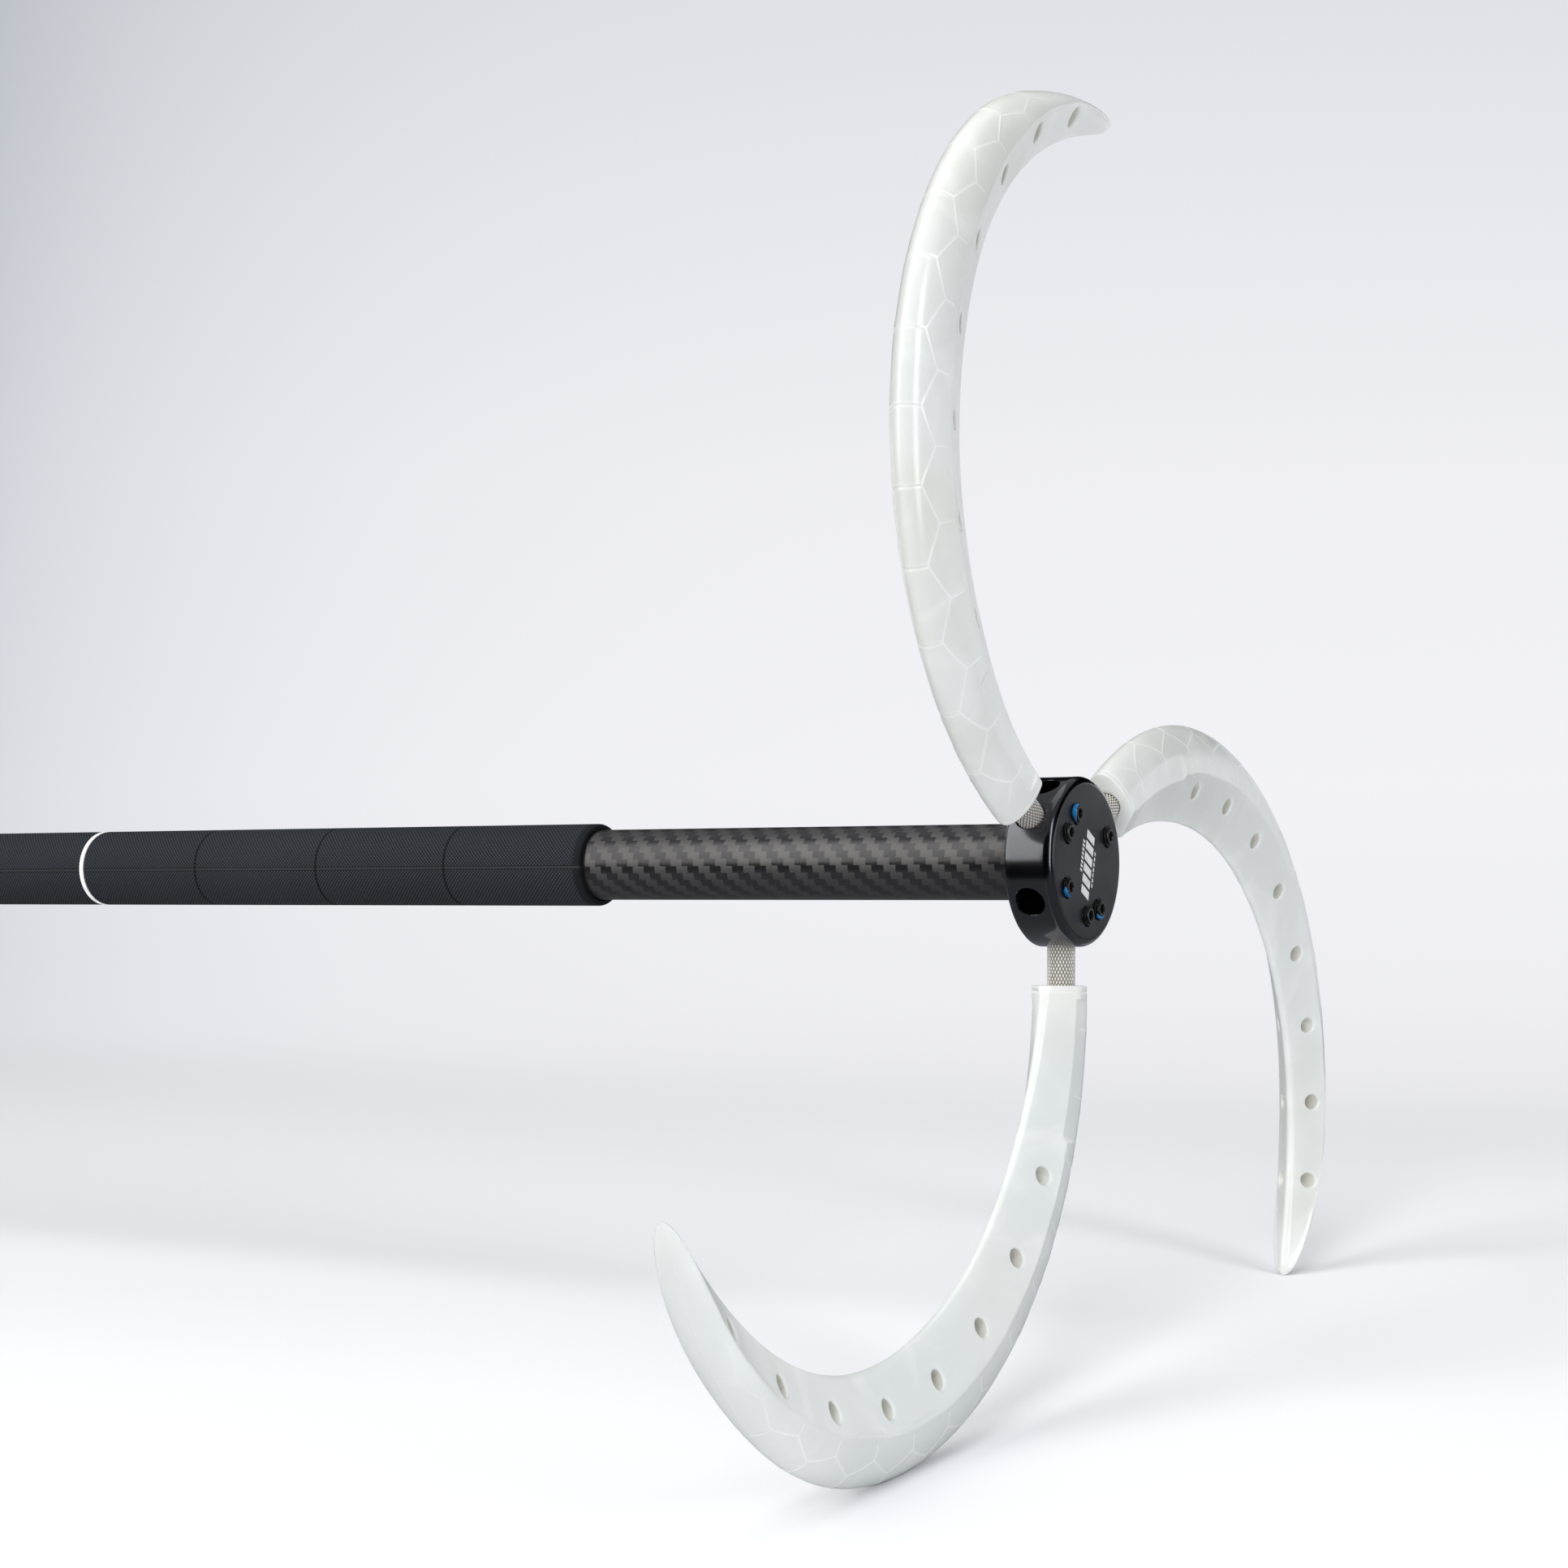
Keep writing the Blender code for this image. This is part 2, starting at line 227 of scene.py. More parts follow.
def carbon_material():
    """2x2 twill of 2 mm tows, fibres along the tube and round it, under a satin lacquer."""
    s = Shading("carbon_twill")
    u, v, _ = s.split(s.position("UV"))
    tow_round = 2 * math.pi * TUBE_RADIUS / MM / TOWS_ROUND
    column = s.math("FLOOR", s.math("DIVIDE", v, TOW))
    row = s.math("FLOOR", s.math("DIVIDE", u, tow_round))
    step = s.math("FLOORED_MODULO", s.sub(column, row), 4.0)
    along = s.math("LESS_THAN", step, 1.5)
    around = s.sub(1.0, along)
    # Crown of each tow, across its fibres
    across_u = s.math("PINGPONG", s.math("DIVIDE", u, tow_round), 0.5)
    across_v = s.math("PINGPONG", s.math("DIVIDE", v, TOW), 0.5)
    crown = s.add(s.mul(along, across_u), s.mul(around, across_v))
    # Strands run with the fibres
    lengthwise = s.vector(s.mul(u, 9.0), s.mul(v, 0.8))
    crosswise = s.vector(s.mul(u, 0.8), s.mul(v, 9.0))
    strands = s.add(s.mul(along, s.noise(1.0, 2.0, lengthwise)), s.mul(around, s.noise(1.0, 2.0, crosswise)))
    tow_tone = s.node("TexWhiteNoise", {"Vector": s.vector(column, row)}).outputs[0]
    tone = s.add(s.spread(strands, 0.8, 1.2), s.mul(tow_tone, 0.15))
    # The weave is real; the tows along the tube are also a lighter grey than those round it, painted sheen
    # on top of the anisotropic reflection
    base = s.blend(along, colour("3f3f42"), colour("504f4f"))
    base = s.blend(s.remap(tone, 0.8, 1.35, 0.0, 0.35), base, colour("5c5a59"))
    patch = s.noise(28.0, 3.0)
    rough = s.add(s.spread(patch, 0.30, 0.40), s.mul(along, 0.04))
    tangent = s.node("Tangent", direction_type="RADIAL", axis="X").outputs[0]
    height = s.add(crown, s.mul(strands, 0.3))
    normal = s.bump(height, 0.05 * MM, 0.5)
    return s.surface(
        Base_Color=base, Roughness=rough, Metallic=0.8, Specular_IOR_Level=0.5,
        Anisotropic=0.9, Anisotropic_Rotation=s.mul(around, 0.25), Tangent=tangent, Normal=normal,
        Coat_Weight=0.3, Coat_Roughness=0.30,
    )


def grip_material():
    """Charcoal rubber with fine moulded diamonds, smooth beside the parting lines and at the lips."""
    s = Shading("grip_rubber_fine")
    u, v, _ = s.split(s.position("UV"))
    x, _, z = s.split(s.position())
    waves = DOTS_ROUND / (2 * GRIP_RADIUS / MM)
    first = s.mul(s.add(u, v), waves)
    second = s.mul(s.sub(u, v), waves)
    dots = s.mul(s.size(s.math("SINE", first)),
                  s.size(s.math("SINE", second)))
    # The texture fades beside the parting lines, which lie at the front and back
    beside = s.remap(s.size(z), 0.3 * MM, 0.9 * MM, 0.0, 1.0, smooth=True)
    to_end = s.sub(GRIP_END, s.size(x))
    near_lip = s.remap(to_end, 1.2 * MM, 4.0 * MM, 0.0, 1.0, smooth=True)
    relief = s.mul(dots, s.mul(beside, near_lip))
    grain = s.noise(1500.0, 2.0)
    broad = s.noise(14.0, 4.0)
    base = s.mottled(broad, "17191d", "1f2226")
    # Painted highlight: the raised diamonds are paler, standing in for the light their tops catch
    base = s.blend(s.remap(relief, 0.2, 0.75, 0.0, 0.9), base, colour("40454c"))
    # Painted highlight along the raised parting lines
    line = s.remap(s.size(z), 0.15 * MM, 0.50 * MM, 0.6, 0.0, smooth=True)
    base = s.blend(line, base, colour("3f4347"))
    # Painted shade: near black in the mould grooves at every pitch
    along = s.math("FLOORED_MODULO", s.add(x, GRIP_PITCH / 2), GRIP_PITCH)
    to_groove = s.size(s.sub(along, GRIP_PITCH / 2))
    mark = s.remap(to_groove, 0.25 * MM, 0.65 * MM, 0.55, 0.0, smooth=True)
    base = s.blend(mark, base, colour("070809"))
    rough = s.spread(grain, 0.66, 0.80)
    normal = s.bump(s.add(relief, s.mul(grain, 0.10)), 0.14 * MM, 0.8)
    return s.surface(Base_Color=base, Roughness=rough, Specular_IOR_Level=0.16, Normal=normal)


def ring_material():
    s = Shading("ring_white_fine")
    cloud = s.noise(90.0, 3.0)
    base = s.mottled(cloud, "fdfdfd", "f6f6f5")
    normal = s.bump(s.noise(900.0, 2.0), 0.02 * MM, 0.4)
    # Painted light: the white rings glow faintly
    s.material.cycles.emission_sampling = "NONE"
    return s.surface(Base_Color=base, Roughness=0.42, Normal=normal,
                     Subsurface_Weight=0.3, Subsurface_Scale=0.001,
                     Emission_Color=(1, 1, 1, 1), Emission_Strength=0.12)


def anodised_material():
    """Black anodised aluminium: bead-blasted satin faces, bright turned sides."""
    s = Shading("black_anodised_fine")
    x, y, z = s.split(s.position())
    nx = s.split(s.position("Normal"))[0]
    flat = s.remap(s.size(nx), 0.96, 0.998, 0.0, 1.0, smooth=True)
    lathe = s.vector(s.mul(x, 60.0), s.mul(y, 0.6), s.mul(z, 0.6))
    lines = s.noise(110.0, 3.0, lathe)
    grain = s.noise(2600.0, 2.0)
    cloud = s.noise(70.0, 4.0)
    side_rough = s.spread(cloud, 0.16, 0.22)
    face_rough = s.spread(cloud, 0.34, 0.44)
    rough_side = s.mul(side_rough, s.sub(1.0, flat))
    rough = s.add(rough_side, s.mul(face_rough, flat))
    base = s.blend(flat, colour("040405"), colour("0b0c10"))
    base = s.blend(s.mul(s.remap(cloud, 0.35, 0.75, 0.0, 0.3), flat), base, colour("26272b"))
    height = s.add(s.mul(grain, flat), s.mul(lines, 0.25))
    normal = s.bump(height, 0.006 * MM, 0.6)
    coat = s.remap(flat, 0.0, 1.0, 0.75, 0.0)
    gloss = s.remap(flat, 0.0, 1.0, 0.75, 0.27)
    return s.surface(Base_Color=base, Roughness=rough, Specular_IOR_Level=gloss,
                     Specular_Tint=(0.90, 0.92, 1.0, 1.0), Normal=normal,
                     Coat_Weight=coat, Coat_Roughness=0.13, Coat_Tint=(0.92, 0.94, 1.0, 1.0))


def print_material():
    s = Shading("print_white")
    wear = s.noise(420.0, 5.0)
    base = s.blend(s.remap(wear, 0.45, 0.75, 0.0, 0.6), colour("e9e9ea"), colour("b9b9bd"))
    return s.surface(Base_Color=base, Roughness=0.55)


def steel_material():
    """Nickel-plated steel, with warm painted shade in the knurl's valleys."""
    s = Shading("knurled_steel_fine")
    depth = s.node("Attribute", attribute_name="depth").outputs["Fac"]
    cloud = s.noise(260.0, 4.0)
    # Painted shade: the knurl's valleys go warm and dark by their depth
    base = s.blend(s.remap(depth, 0.05, 0.7, 0.0, 1.0), colour("fffdf8"), colour("75685d"))
    base = s.blend(s.remap(cloud, 0.35, 0.7, 0.0, 0.2), base, colour("cfc6bc"))
    rough = s.spread(s.noise(900.0, 3.0), 0.30, 0.42)
    normal = s.bump(s.noise(2200.0, 2.0), 0.01 * MM, 0.5)
    return s.surface(Base_Color=base, Roughness=rough, Metallic=0.3, Specular_IOR_Level=1.0, Normal=normal)


def oxide_material():
    s = Shading("black_oxide_fine")
    cloud = s.noise(700.0, 4.0)
    base = s.mottled(cloud, "131313", "262625")
    rough = s.spread(cloud, 0.28, 0.42)
    normal = s.bump(s.noise(3000.0, 2.0), 0.008 * MM, 0.5)
    return s.surface(Base_Color=base, Roughness=rough, Metallic=0.55, Specular_IOR_Level=0.6, Normal=normal)


def thread_lock_material():
    s = Shading("thread_lock_blue")
    cloud = s.noise(900.0, 4.0)
    base = s.mottled(cloud, "14507f", "2b83bd")
    rough = s.spread(cloud, 0.28, 0.5)
    normal = s.bump(s.noise(1600.0, 3.0), 0.05 * MM, 0.7)
    return s.surface(Base_Color=base, Roughness=rough, Normal=normal, Subsurface_Weight=0.2,
                     Subsurface_Scale=0.0006)


def claw_material(name, pale, warm, cool):
    """Milky translucent polymer with soft flow marbling under a glossy skin."""
    s = Shading(name)
    place = s.position()
    flow = s.noise(16.0, 3.0, place, 0.5, 0.8)
    tint = s.noise(9.0, 2.0, place, 0.5, 0.5)
    wisps = s.noise(42.0, 3.0, place, 0.5, 1.2)
    base = s.blend(s.remap(flow, 0.35, 0.70, 0.0, 1.0, smooth=True), pale, warm)
    base = s.blend(s.remap(tint, 0.40, 0.70, 0.0, 0.8, smooth=True), base, cool)
    base = s.blend(s.remap(wisps, 0.45, 0.80, 0.0, 0.5, smooth=True), base, colour("f8faf8"))
    # Painted highlight: paler along the scale lines' ridges, standing in for the glints they catch
    line = s.node("Attribute", attribute_name="line").outputs["Fac"]
    base = s.blend(s.mul(line, 0.6), base, colour("ffffff"))
    rough = s.spread(s.noise(60.0, 4.0), 0.19, 0.26)
    normal = s.bump(s.noise(1900.0, 2.0), 0.01 * MM, 0.3)
    # The rims glow with scattered light and mirror little of the room
    turned_away = s.node("LayerWeight", {"Blend": 0.5}).outputs["Facing"]
    gloss = s.remap(turned_away, 0.50, 0.95, 0.45, 0.05, smooth=True)
    coat = s.remap(turned_away, 0.50, 0.95, 0.40, 0.05, smooth=True)
    return s.surface("BURLEY", Base_Color=base, Roughness=rough, Specular_IOR_Level=gloss, IOR=1.49,
                     Normal=normal, Subsurface_Weight=0.5, Subsurface_Radius=(1.0, 1.0, 0.95),
                     Subsurface_Scale=0.006, Coat_Weight=coat, Coat_Roughness=0.16)


# Mesh helpers

def placed(name, data):
    made = bpy.data.objects.new(name, data)
    bpy.context.scene.collection.objects.link(made)
    return made


def mesh_object(name, vertices, faces, materials, smooth_angle=None):
    mesh = bpy.data.meshes.new(name)
    mesh.from_pydata([tuple(v) for v in vertices], [], [tuple(f) for f in faces])
    mesh.update()
    for material in materials:
        mesh.materials.append(material)
    mesh.shade_smooth()
    if smooth_angle is not None:
        mesh.set_sharp_from_angle(angle=math.radians(smooth_angle))
    return placed(name, mesh)


def ring_quads(start_a, start_b, count):
    """Quads between two closed loops of vertices."""
    j = np.arange(count)
    k = (j + 1) % count
    return np.stack([start_a + j, start_a + k, start_b + k, start_b + j], 1)


def fans(centre, start, count, flip):
    """Triangles from a closed loop of vertices to one centre."""
    j = np.arange(count)
    k = (j + 1) % count
    order = (start + k, start + j) if flip else (start + j, start + k)
    return np.stack([np.full(count, centre), *order], 1)


def full_turn(count):
    return np.arange(count) * 2 * math.pi / count


def ring_about_x(x, radius, angles):
    return np.stack([np.full(len(angles), x), radius * np.cos(angles), radius * np.sin(angles)], 1)


def stacked(rings, first=None, last=None, looped=False):
    """(vertices, faces) over equal rings of points, with a fan to each end point that is given."""
    count = len(rings[0])
    vertices = [point for ring in rings for point in ring]
    pairs = list(zip(range(len(rings)), range(1, len(rings))))
    if looped:
        pairs.append((len(rings) - 1, 0))
    faces = []
    for a, b in pairs:
        faces.extend(ring_quads(a * count, b * count, count))
    for point, ring in ((first, 0), (last, len(rings) - 1)):
        if point is not None:
            faces.extend(fans(len(vertices), ring * count, count, ring == 0))
            vertices.append(point)
    return vertices, faces


def solid_object(name, skin, material, smooth_angle=None):
    """An object of (vertices, faces) with its faces pointing out."""
    made = mesh_object(name, *skin, [material], smooth_angle)
    face_out(made.data)
    return made


def turned(name, profile, count, material, closed, radius_rule=None, crowd=0.0):
    """Surface of (x, radius) points turned about X. An open profile starts and ends on the axis.

    A crowd above 0 sets the columns closer together at the front and the back.
    """
    angles = full_turn(count)
    angles = angles - crowd * np.sin(2 * angles) / 2
    rings = []
    for x, radius in profile if closed else profile[1:-1]:
        r = radius if radius_rule is None else radius_rule(radius, angles)
        rings.append(ring_about_x(x, r, angles))
    ends = [None if closed else (profile[i][0], 0.0, 0.0) for i in (0, -1)]
    made = solid_object(name, stacked(rings, *ends, looped=closed), material, SMOOTH_ANGLE)
    unwrap_turned(made.data)
    return made


def face_out(mesh):
    """Turns every face outwards, and drops vertices that carry no face."""
    bm = bmesh.new()
    bm.from_mesh(mesh)
    loose = [v for v in bm.verts if not v.link_faces]
    bmesh.ops.delete(bm, geom=loose, context="VERTS")
    bmesh.ops.recalc_face_normals(bm, faces=bm.faces)
    bm.to_mesh(mesh)
    bm.free()


def unwrap_turned(mesh):
    """UV in mm: u round the axis at the mesh's outer radius, v along it."""
    points = np.zeros(len(mesh.vertices) * 3)
    mesh.vertices.foreach_get("co", points)
    points = points.reshape(-1, 3)
    radius = np.hypot(points[:, 1], points[:, 2]).max() / MM
    layer = mesh.uv_layers.new(name="surface")
    angle = np.arctan2(points[:, 2], points[:, 1])
    corner = np.zeros(len(mesh.loops), np.int64)
    mesh.loops.foreach_get("vertex_index", corner)
    owner = np.zeros(len(mesh.loops), np.int64)
    for polygon in mesh.polygons:
        owner[polygon.loop_start : polygon.loop_start + polygon.loop_total] = polygon.loop_start
    turn = angle[corner]
    first = turn[owner]
    turn = first + (turn - first + math.pi) % (2 * math.pi) - math.pi
    uv = np.stack([turn * radius, points[corner, 0] / MM], 1)
    layer.data.foreach_set("uv", uv.ravel())


def arc(x, radius, size, start, end, steps):
    """(x, radius) points of a round of the given size about a centre, angles in degrees from +X."""
    angles = np.radians(np.linspace(start, end, steps + 1))
    return [(x + size * math.cos(a), radius + size * math.sin(a)) for a in angles]


def baked(thing):
    """Applies an object's modifiers to its mesh."""
    bpy.context.view_layer.update()
    evaluated = thing.evaluated_get(bpy.context.evaluated_depsgraph_get())
    mesh = bpy.data.meshes.new_from_object(evaluated)
    thing.modifiers.clear()
    old = thing.data
    thing.data = mesh
    bpy.data.meshes.remove(old)
    return thing


def cut(thing, tool):
    boolean = thing.modifiers.new("cut", "BOOLEAN")
    boolean.operation = "DIFFERENCE"
    boolean.solver = "EXACT"
    boolean.object = tool
    baked(thing)
    bpy.data.objects.remove(tool, do_unlink=True)


def lathe_part(matrix, profile, count):
    """(vertices, faces) of an open (height, radius) profile turned about a matrix's local Z."""
    rings = []
    for height, radius in profile[1:-1]:
        places = [(radius * math.cos(a), radius * math.sin(a), height) for a in full_turn(count)]
        rings.append([matrix @ Vector(place) for place in places])
    return stacked(rings, *[matrix @ Vector((0, 0, profile[i][0])) for i in (0, -1)])


def axis_along(direction, origin):
    return Matrix.Translation(origin) @ direction.to_track_quat("Z", "Y").to_matrix().to_4x4()


def basis(x_axis, y_axis, origin):
    z_axis = x_axis.cross(y_axis)
    return Matrix.Translation(origin) @ Matrix((x_axis, y_axis, z_axis)).transposed().to_4x4()


def copied(master, name, matrix):
    """A copy of an object with its own mesh, set in place in the row frame."""
    mesh = master.data.copy()
    mesh.transform(matrix)
    return placed(name, mesh)


def finish_piece(piece, body, slot, *nodes):
    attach(piece, body)
    if nodes:
        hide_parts(*nodes)


# Staff

def rounded_sleeve(low, high, outer, front_round, back_round, steps, skin=()):
    """Closed (x, radius) profile of a sleeve on the tube with rounded ends, from its high end."""
    inner = TUBE_RADIUS + GAP
    points = [(high, inner)]
    points += arc(high - front_round, outer - front_round, front_round, 0, 90, steps)
    points += skin
    points += arc(low + back_round, outer - back_round, back_round, 90, 180, steps)
    return points + [(low, inner)]


def make_tube(material):
    chamfer = 0.4 * MM
    points = [(TUBE_END, TUBE_RADIUS - TUBE_WALL)]
    points += arc(TUBE_END - chamfer, TUBE_RADIUS - chamfer, chamfer, 0, 90, 3)
    points += [(x, TUBE_RADIUS) for x in np.linspace(TUBE_END, -TUBE_END, 57)[1:-1]]
    points += arc(-TUBE_END + chamfer, TUBE_RADIUS - chamfer, chamfer, 90, 180, 3)
    points += [(-TUBE_END, TUBE_RADIUS - TUBE_WALL)]
    finish_piece(turned("carbon_tube", points, 96, material, closed=True), "staff", "carbon", "shaft_tube")


SLEEVE_ROW = 6 * MM
GROOVE_HALF = 0.45 * MM
GROOVE_DEPTH = 0.36 * MM
PARTING_HEIGHT = 0.06 * MM
PARTING_HALF = 0.30 * MM
RING_ROUND = 0.3 * MM


def parting_rule(radius, angles):
    """A fine raised parting line at the front and the back of a sleeve."""
    from_line = np.abs(np.sin(angles)) * radius
    line = np.exp(-((from_line / PARTING_HALF) ** 2)) * PARTING_HEIGHT
    on_skin = radius > GRIP_RADIUS - 2 * GROOVE_DEPTH
    return radius + (line if on_skin else 0.0)


def sleeve(name, low, high, front_round, back_round, material):
    """Grip sleeve with a fine mould groove at every pitch."""
    skin = []
    stop_high, stop_low = high - front_round, low + back_round
    marks = np.arange(-LAST_MARK, LAST_MARK + 1) * GRIP_PITCH
    for x in np.linspace(stop_high, stop_low, int((high - low) / SLEEVE_ROW) + 2)[1:-1]:
        if np.min(np.abs(marks - x)) > 3 * GROOVE_HALF:
            skin.append((x, GRIP_RADIUS))
    for mark in marks:
        if stop_low + 4 * GROOVE_HALF < mark < stop_high - 4 * GROOVE_HALF:
            for share in (-1.5, -1.0, -0.5, -0.2, 0.0, 0.2, 0.5, 1.0, 1.5):
                depth = GROOVE_DEPTH * math.exp(-((share * 1.9) ** 2))
                skin.append((mark + share * GROOVE_HALF, GRIP_RADIUS - depth))
    skin.sort(reverse=True)
    points = rounded_sleeve(low, high, GRIP_RADIUS, front_round, back_round, 8, skin)
    return turned(name, points, 192, material, closed=True, radius_rule=parting_rule, crowd=0.7)


def make_grips(material):
    low, high = node_box("grip_center")
    centre = sleeve("grip_middle", low[0], high[0], 0.5 * MM, 0.5 * MM, material)
    finish_piece(centre, "staff", "grip", "grip_center")
    for side, sign in SIDES:
        low, high = node_box(f"grip_end_{side}")
        lip, butt = 1.5 * MM, 0.4 * MM
        rounds = (lip, butt) if sign > 0 else (butt, lip)
        end = sleeve(f"grip_outer_{side}", low[0], high[0], *rounds, material)
        finish_piece(end, "staff", "grip", f"grip_end_{side}")


def make_rings(material):
    for side, _ in SIDES:
        low, high = node_box(f"marker_ring_{side}")
        points = rounded_sleeve(low[0], high[0], RING_RADIUS, RING_ROUND, RING_ROUND, 5)
        ring = turned(f"ring_{side}", points, 128, material, closed=True)
        finish_piece(ring, "staff", "ring", f"marker_ring_{side}")


# Hub

def screw_centre(side, number):
    low, high = node_box(f"set_screw_{side}_{number}")
    return Vector((low + high) / 2)


def hub_profile(sign):
    """(x, radius) points of the hub, from the middle of its face round to the spigot's end."""
    bead = 0.12 * MM
    edge = -HUB_BACK + HUB_BACK_CHAMFER
    bottom = -HUB_BACK - SPIGOT_LENGTH
    points = [(0.0, r * MM) for r in (0, 4, 8, 12, 18.6)]
    points += arc(-HUB_FRONT_ROUND, HUB_RADIUS - HUB_FRONT_ROUND, HUB_FRONT_ROUND, 0, 90, 14)
    points += [(x, HUB_RADIUS) for x in np.linspace(-HUB_FRONT_ROUND, edge, 9)[1:-1]]
    points += [
        (edge + bead, HUB_RADIUS),
        (edge, HUB_RADIUS - bead / 3),
        (-HUB_BACK + bead / 3, HUB_RADIUS - HUB_BACK_CHAMFER),
        (-HUB_BACK, HUB_RADIUS - HUB_BACK_CHAMFER - bead),
    ]
    points += [(-HUB_BACK, r * MM) for r in (20, 15, 11)]
    points += [
        (-HUB_BACK, SPIGOT_RADIUS),
        (bottom + SPIGOT_CHAMFER, SPIGOT_RADIUS),
        (bottom, SPIGOT_RADIUS - SPIGOT_CHAMFER),
        (bottom, 0.0),
    ]
    return [(sign * (FACE_X + x), radius) for x, radius in points]


SOCKET_MOUTH = HUB_RADIUS - SOCKET_CHAMFER
SOCKET_FLARE = 1.2 * MM
CUT_CLEAR = 5 * MM
SCREW_SINK = 0.6 * MM
SCREW_OVER = 1.0 * MM
# (height, radius) profiles of the tools that cut the sockets and the screw holes
SOCKET_TOOL = (
    (SOCKET_FLOOR, 0.0),
    (SOCKET_FLOOR, SOCKET_RADIUS),
    (SOCKET_MOUTH, SOCKET_RADIUS),
    (SOCKET_MOUTH + SOCKET_FLARE, SOCKET_RADIUS + SOCKET_FLARE),
    (SOCKET_MOUTH + CUT_CLEAR, SOCKET_RADIUS + SOCKET_FLARE),
    (SOCKET_MOUTH + CUT_CLEAR, 0.0),
)
SCREW_TOOL = (
    (-SOCKET_INSET + STUB_RADIUS / 2, 0.0),
    (-SOCKET_INSET + STUB_RADIUS / 2, SCREW_HOLE),
    (-SCREW_SINK, SCREW_HOLE),
    (0.0, SCREW_COUNTERSINK),
    (SCREW_OVER, SCREW_COUNTERSINK + SCREW_OVER * (SCREW_COUNTERSINK - SCREW_HOLE) / SCREW_SINK),
    (SCREW_OVER, 0.0),
)


def make_hub(side, sign, material):
    """Each socket has its set screw in front of it, which gives the socket's direction."""
    hub = turned(f"hub_body_{side}", hub_profile(sign), 192, material, closed=False)
    outward = Vector((sign, 0, 0))
    plane = outward * (FACE_X - SOCKET_INSET)
    sockets, holes = [], []
    for number in SCREWS:
        centre = screw_centre(side, number)
        direction = Vector((0, centre.y, centre.z)).normalized()
        sockets.append(lathe_part(axis_along(direction, plane), SOCKET_TOOL, 40))
        face = Vector((sign * FACE_X, centre.y, centre.z))
        holes.append(lathe_part(axis_along(outward, face), SCREW_TOOL, 32))
    # Neighbouring bores cross inside the hub, so they are cut one after another
    for skin in sockets + holes:
        cut(hub, solid_object("hub_tool", skin, material))
    hub.data.shade_smooth()
    hub.data.set_sharp_from_angle(angle=math.radians(SMOOTH_ANGLE))
    finish_piece(hub, "staff", "hub", f"hub_{side}")


PRINT_TURN = math.radians(71.8)
PRINT_THICK = 0.03 * MM


def make_print(side, sign, material):
    """A generic decoration printed on the hub's face: slanted bars between two rows of short dashes."""
    read = Vector((0, sign * math.cos(PRINT_TURN), math.sin(PRINT_TURN)))
    rise = Vector((0, -sign * math.sin(PRINT_TURN), math.cos(PRINT_TURN)))
    slant = math.tan(math.radians(14))
    # Place along and up, width and height, in mm
    bars = [(-9.9 + 3.2 * i, -3.1, 2.35, 5.2) for i in range(6)]
    bars += [(-4.6 + 1.2 * i, 2.9, 0.7, 1.3) for i in range(8)]
    bars += [(-5.4 + 1.55 * i, -4.8, 1.05, 0.7) for i in range(7)]
    vertices, faces = [], []
    origin = Vector((sign * FACE_X, 0, 0))
    for along, up, width, height in bars:
        start = len(vertices)
        for lift in (0.0, PRINT_THICK):
            for s, t in ((0, 0), (width, 0), (width, height), (0, height)):
                a, b = along + s + (up + t) * slant, up + t
                vertices.append(origin + (read * a + rise * b) * MM + Vector((sign * lift, 0, 0)))
        for quad in ((0, 1, 2, 3), (4, 7, 6, 5), (0, 4, 5, 1), (1, 5, 6, 2), (2, 6, 7, 3), (3, 7, 4, 0)):
            faces.append(tuple(start + i for i in quad))
    mark = solid_object(f"face_print_{side}", (vertices, faces), material, smooth_angle=20)
    finish_piece(mark, "staff", "ring")


# Set screws

def thread_depth(x, angles):
    """How far the surface lies under the thread's crest, at a distance x down the screw."""
    phase = (x / SCREW_PITCH + angles / (2 * math.pi)) % 1.0
    side = np.abs(phase - 0.5) * 2
    return THREAD_DEPTH * np.clip((side - 0.14) / 0.68, 0, 1)


def screw_object(material):
    """M5 set screw with its socket end at the origin, running down -X, with a cup point."""
    count = 48
    angles = full_turn(count)
    hexagon = HEX_ACROSS_FLATS / 2 / np.cos(np.abs(angles % (math.pi / 3) - math.pi / 6))
    corner = HEX_ACROSS_FLATS / 2 / math.cos(math.pi / 6)
    # (x, radius) up the hex from its floor, down the thread, and into the cup
    rings = [
        (-HEX_DEPTH, hexagon * 0.92),
        (-HEX_DEPTH + 0.1 * MM, hexagon),
        (-0.35 * MM, hexagon),
        (-0.22 * MM, np.maximum(hexagon, corner * 0.985)),
        (0.0, corner + 0.12 * MM),
    ]
    for x in np.linspace(0.0, SCREW_LENGTH, 64):
        end = min(x, SCREW_LENGTH - x)
        limit = SCREW_RADIUS - max(0.0, SCREW_CHAMFER - end * 1.1)
        rings.append((-x, np.minimum(SCREW_RADIUS - thread_depth(x, angles), limit)))
    rings.append((-SCREW_LENGTH, 1.25 * MM))
    rings.append((-SCREW_LENGTH + 0.5 * MM, 0.75 * MM))
    skin = stacked([ring_about_x(x, radius, angles) for x, radius in rings],
                   (-HEX_DEPTH - 0.35 * MM, 0.0, 0.0), (-SCREW_LENGTH + 0.85 * MM, 0.0, 0.0))
    return solid_object("screw_master", skin, material, smooth_angle=38)


# Where thread lock sits round the screws that carry it: middle and spread in degrees from +Y towards +Z
THREAD_LOCK = {4: (152, 165), 5: (232, 115), 6: (272, 125)}
LOCK_REACH = 0.48 * MM
LOCK_LENGTH = 0.80 * MM
LOCK_PLACE = 0.75 * MM


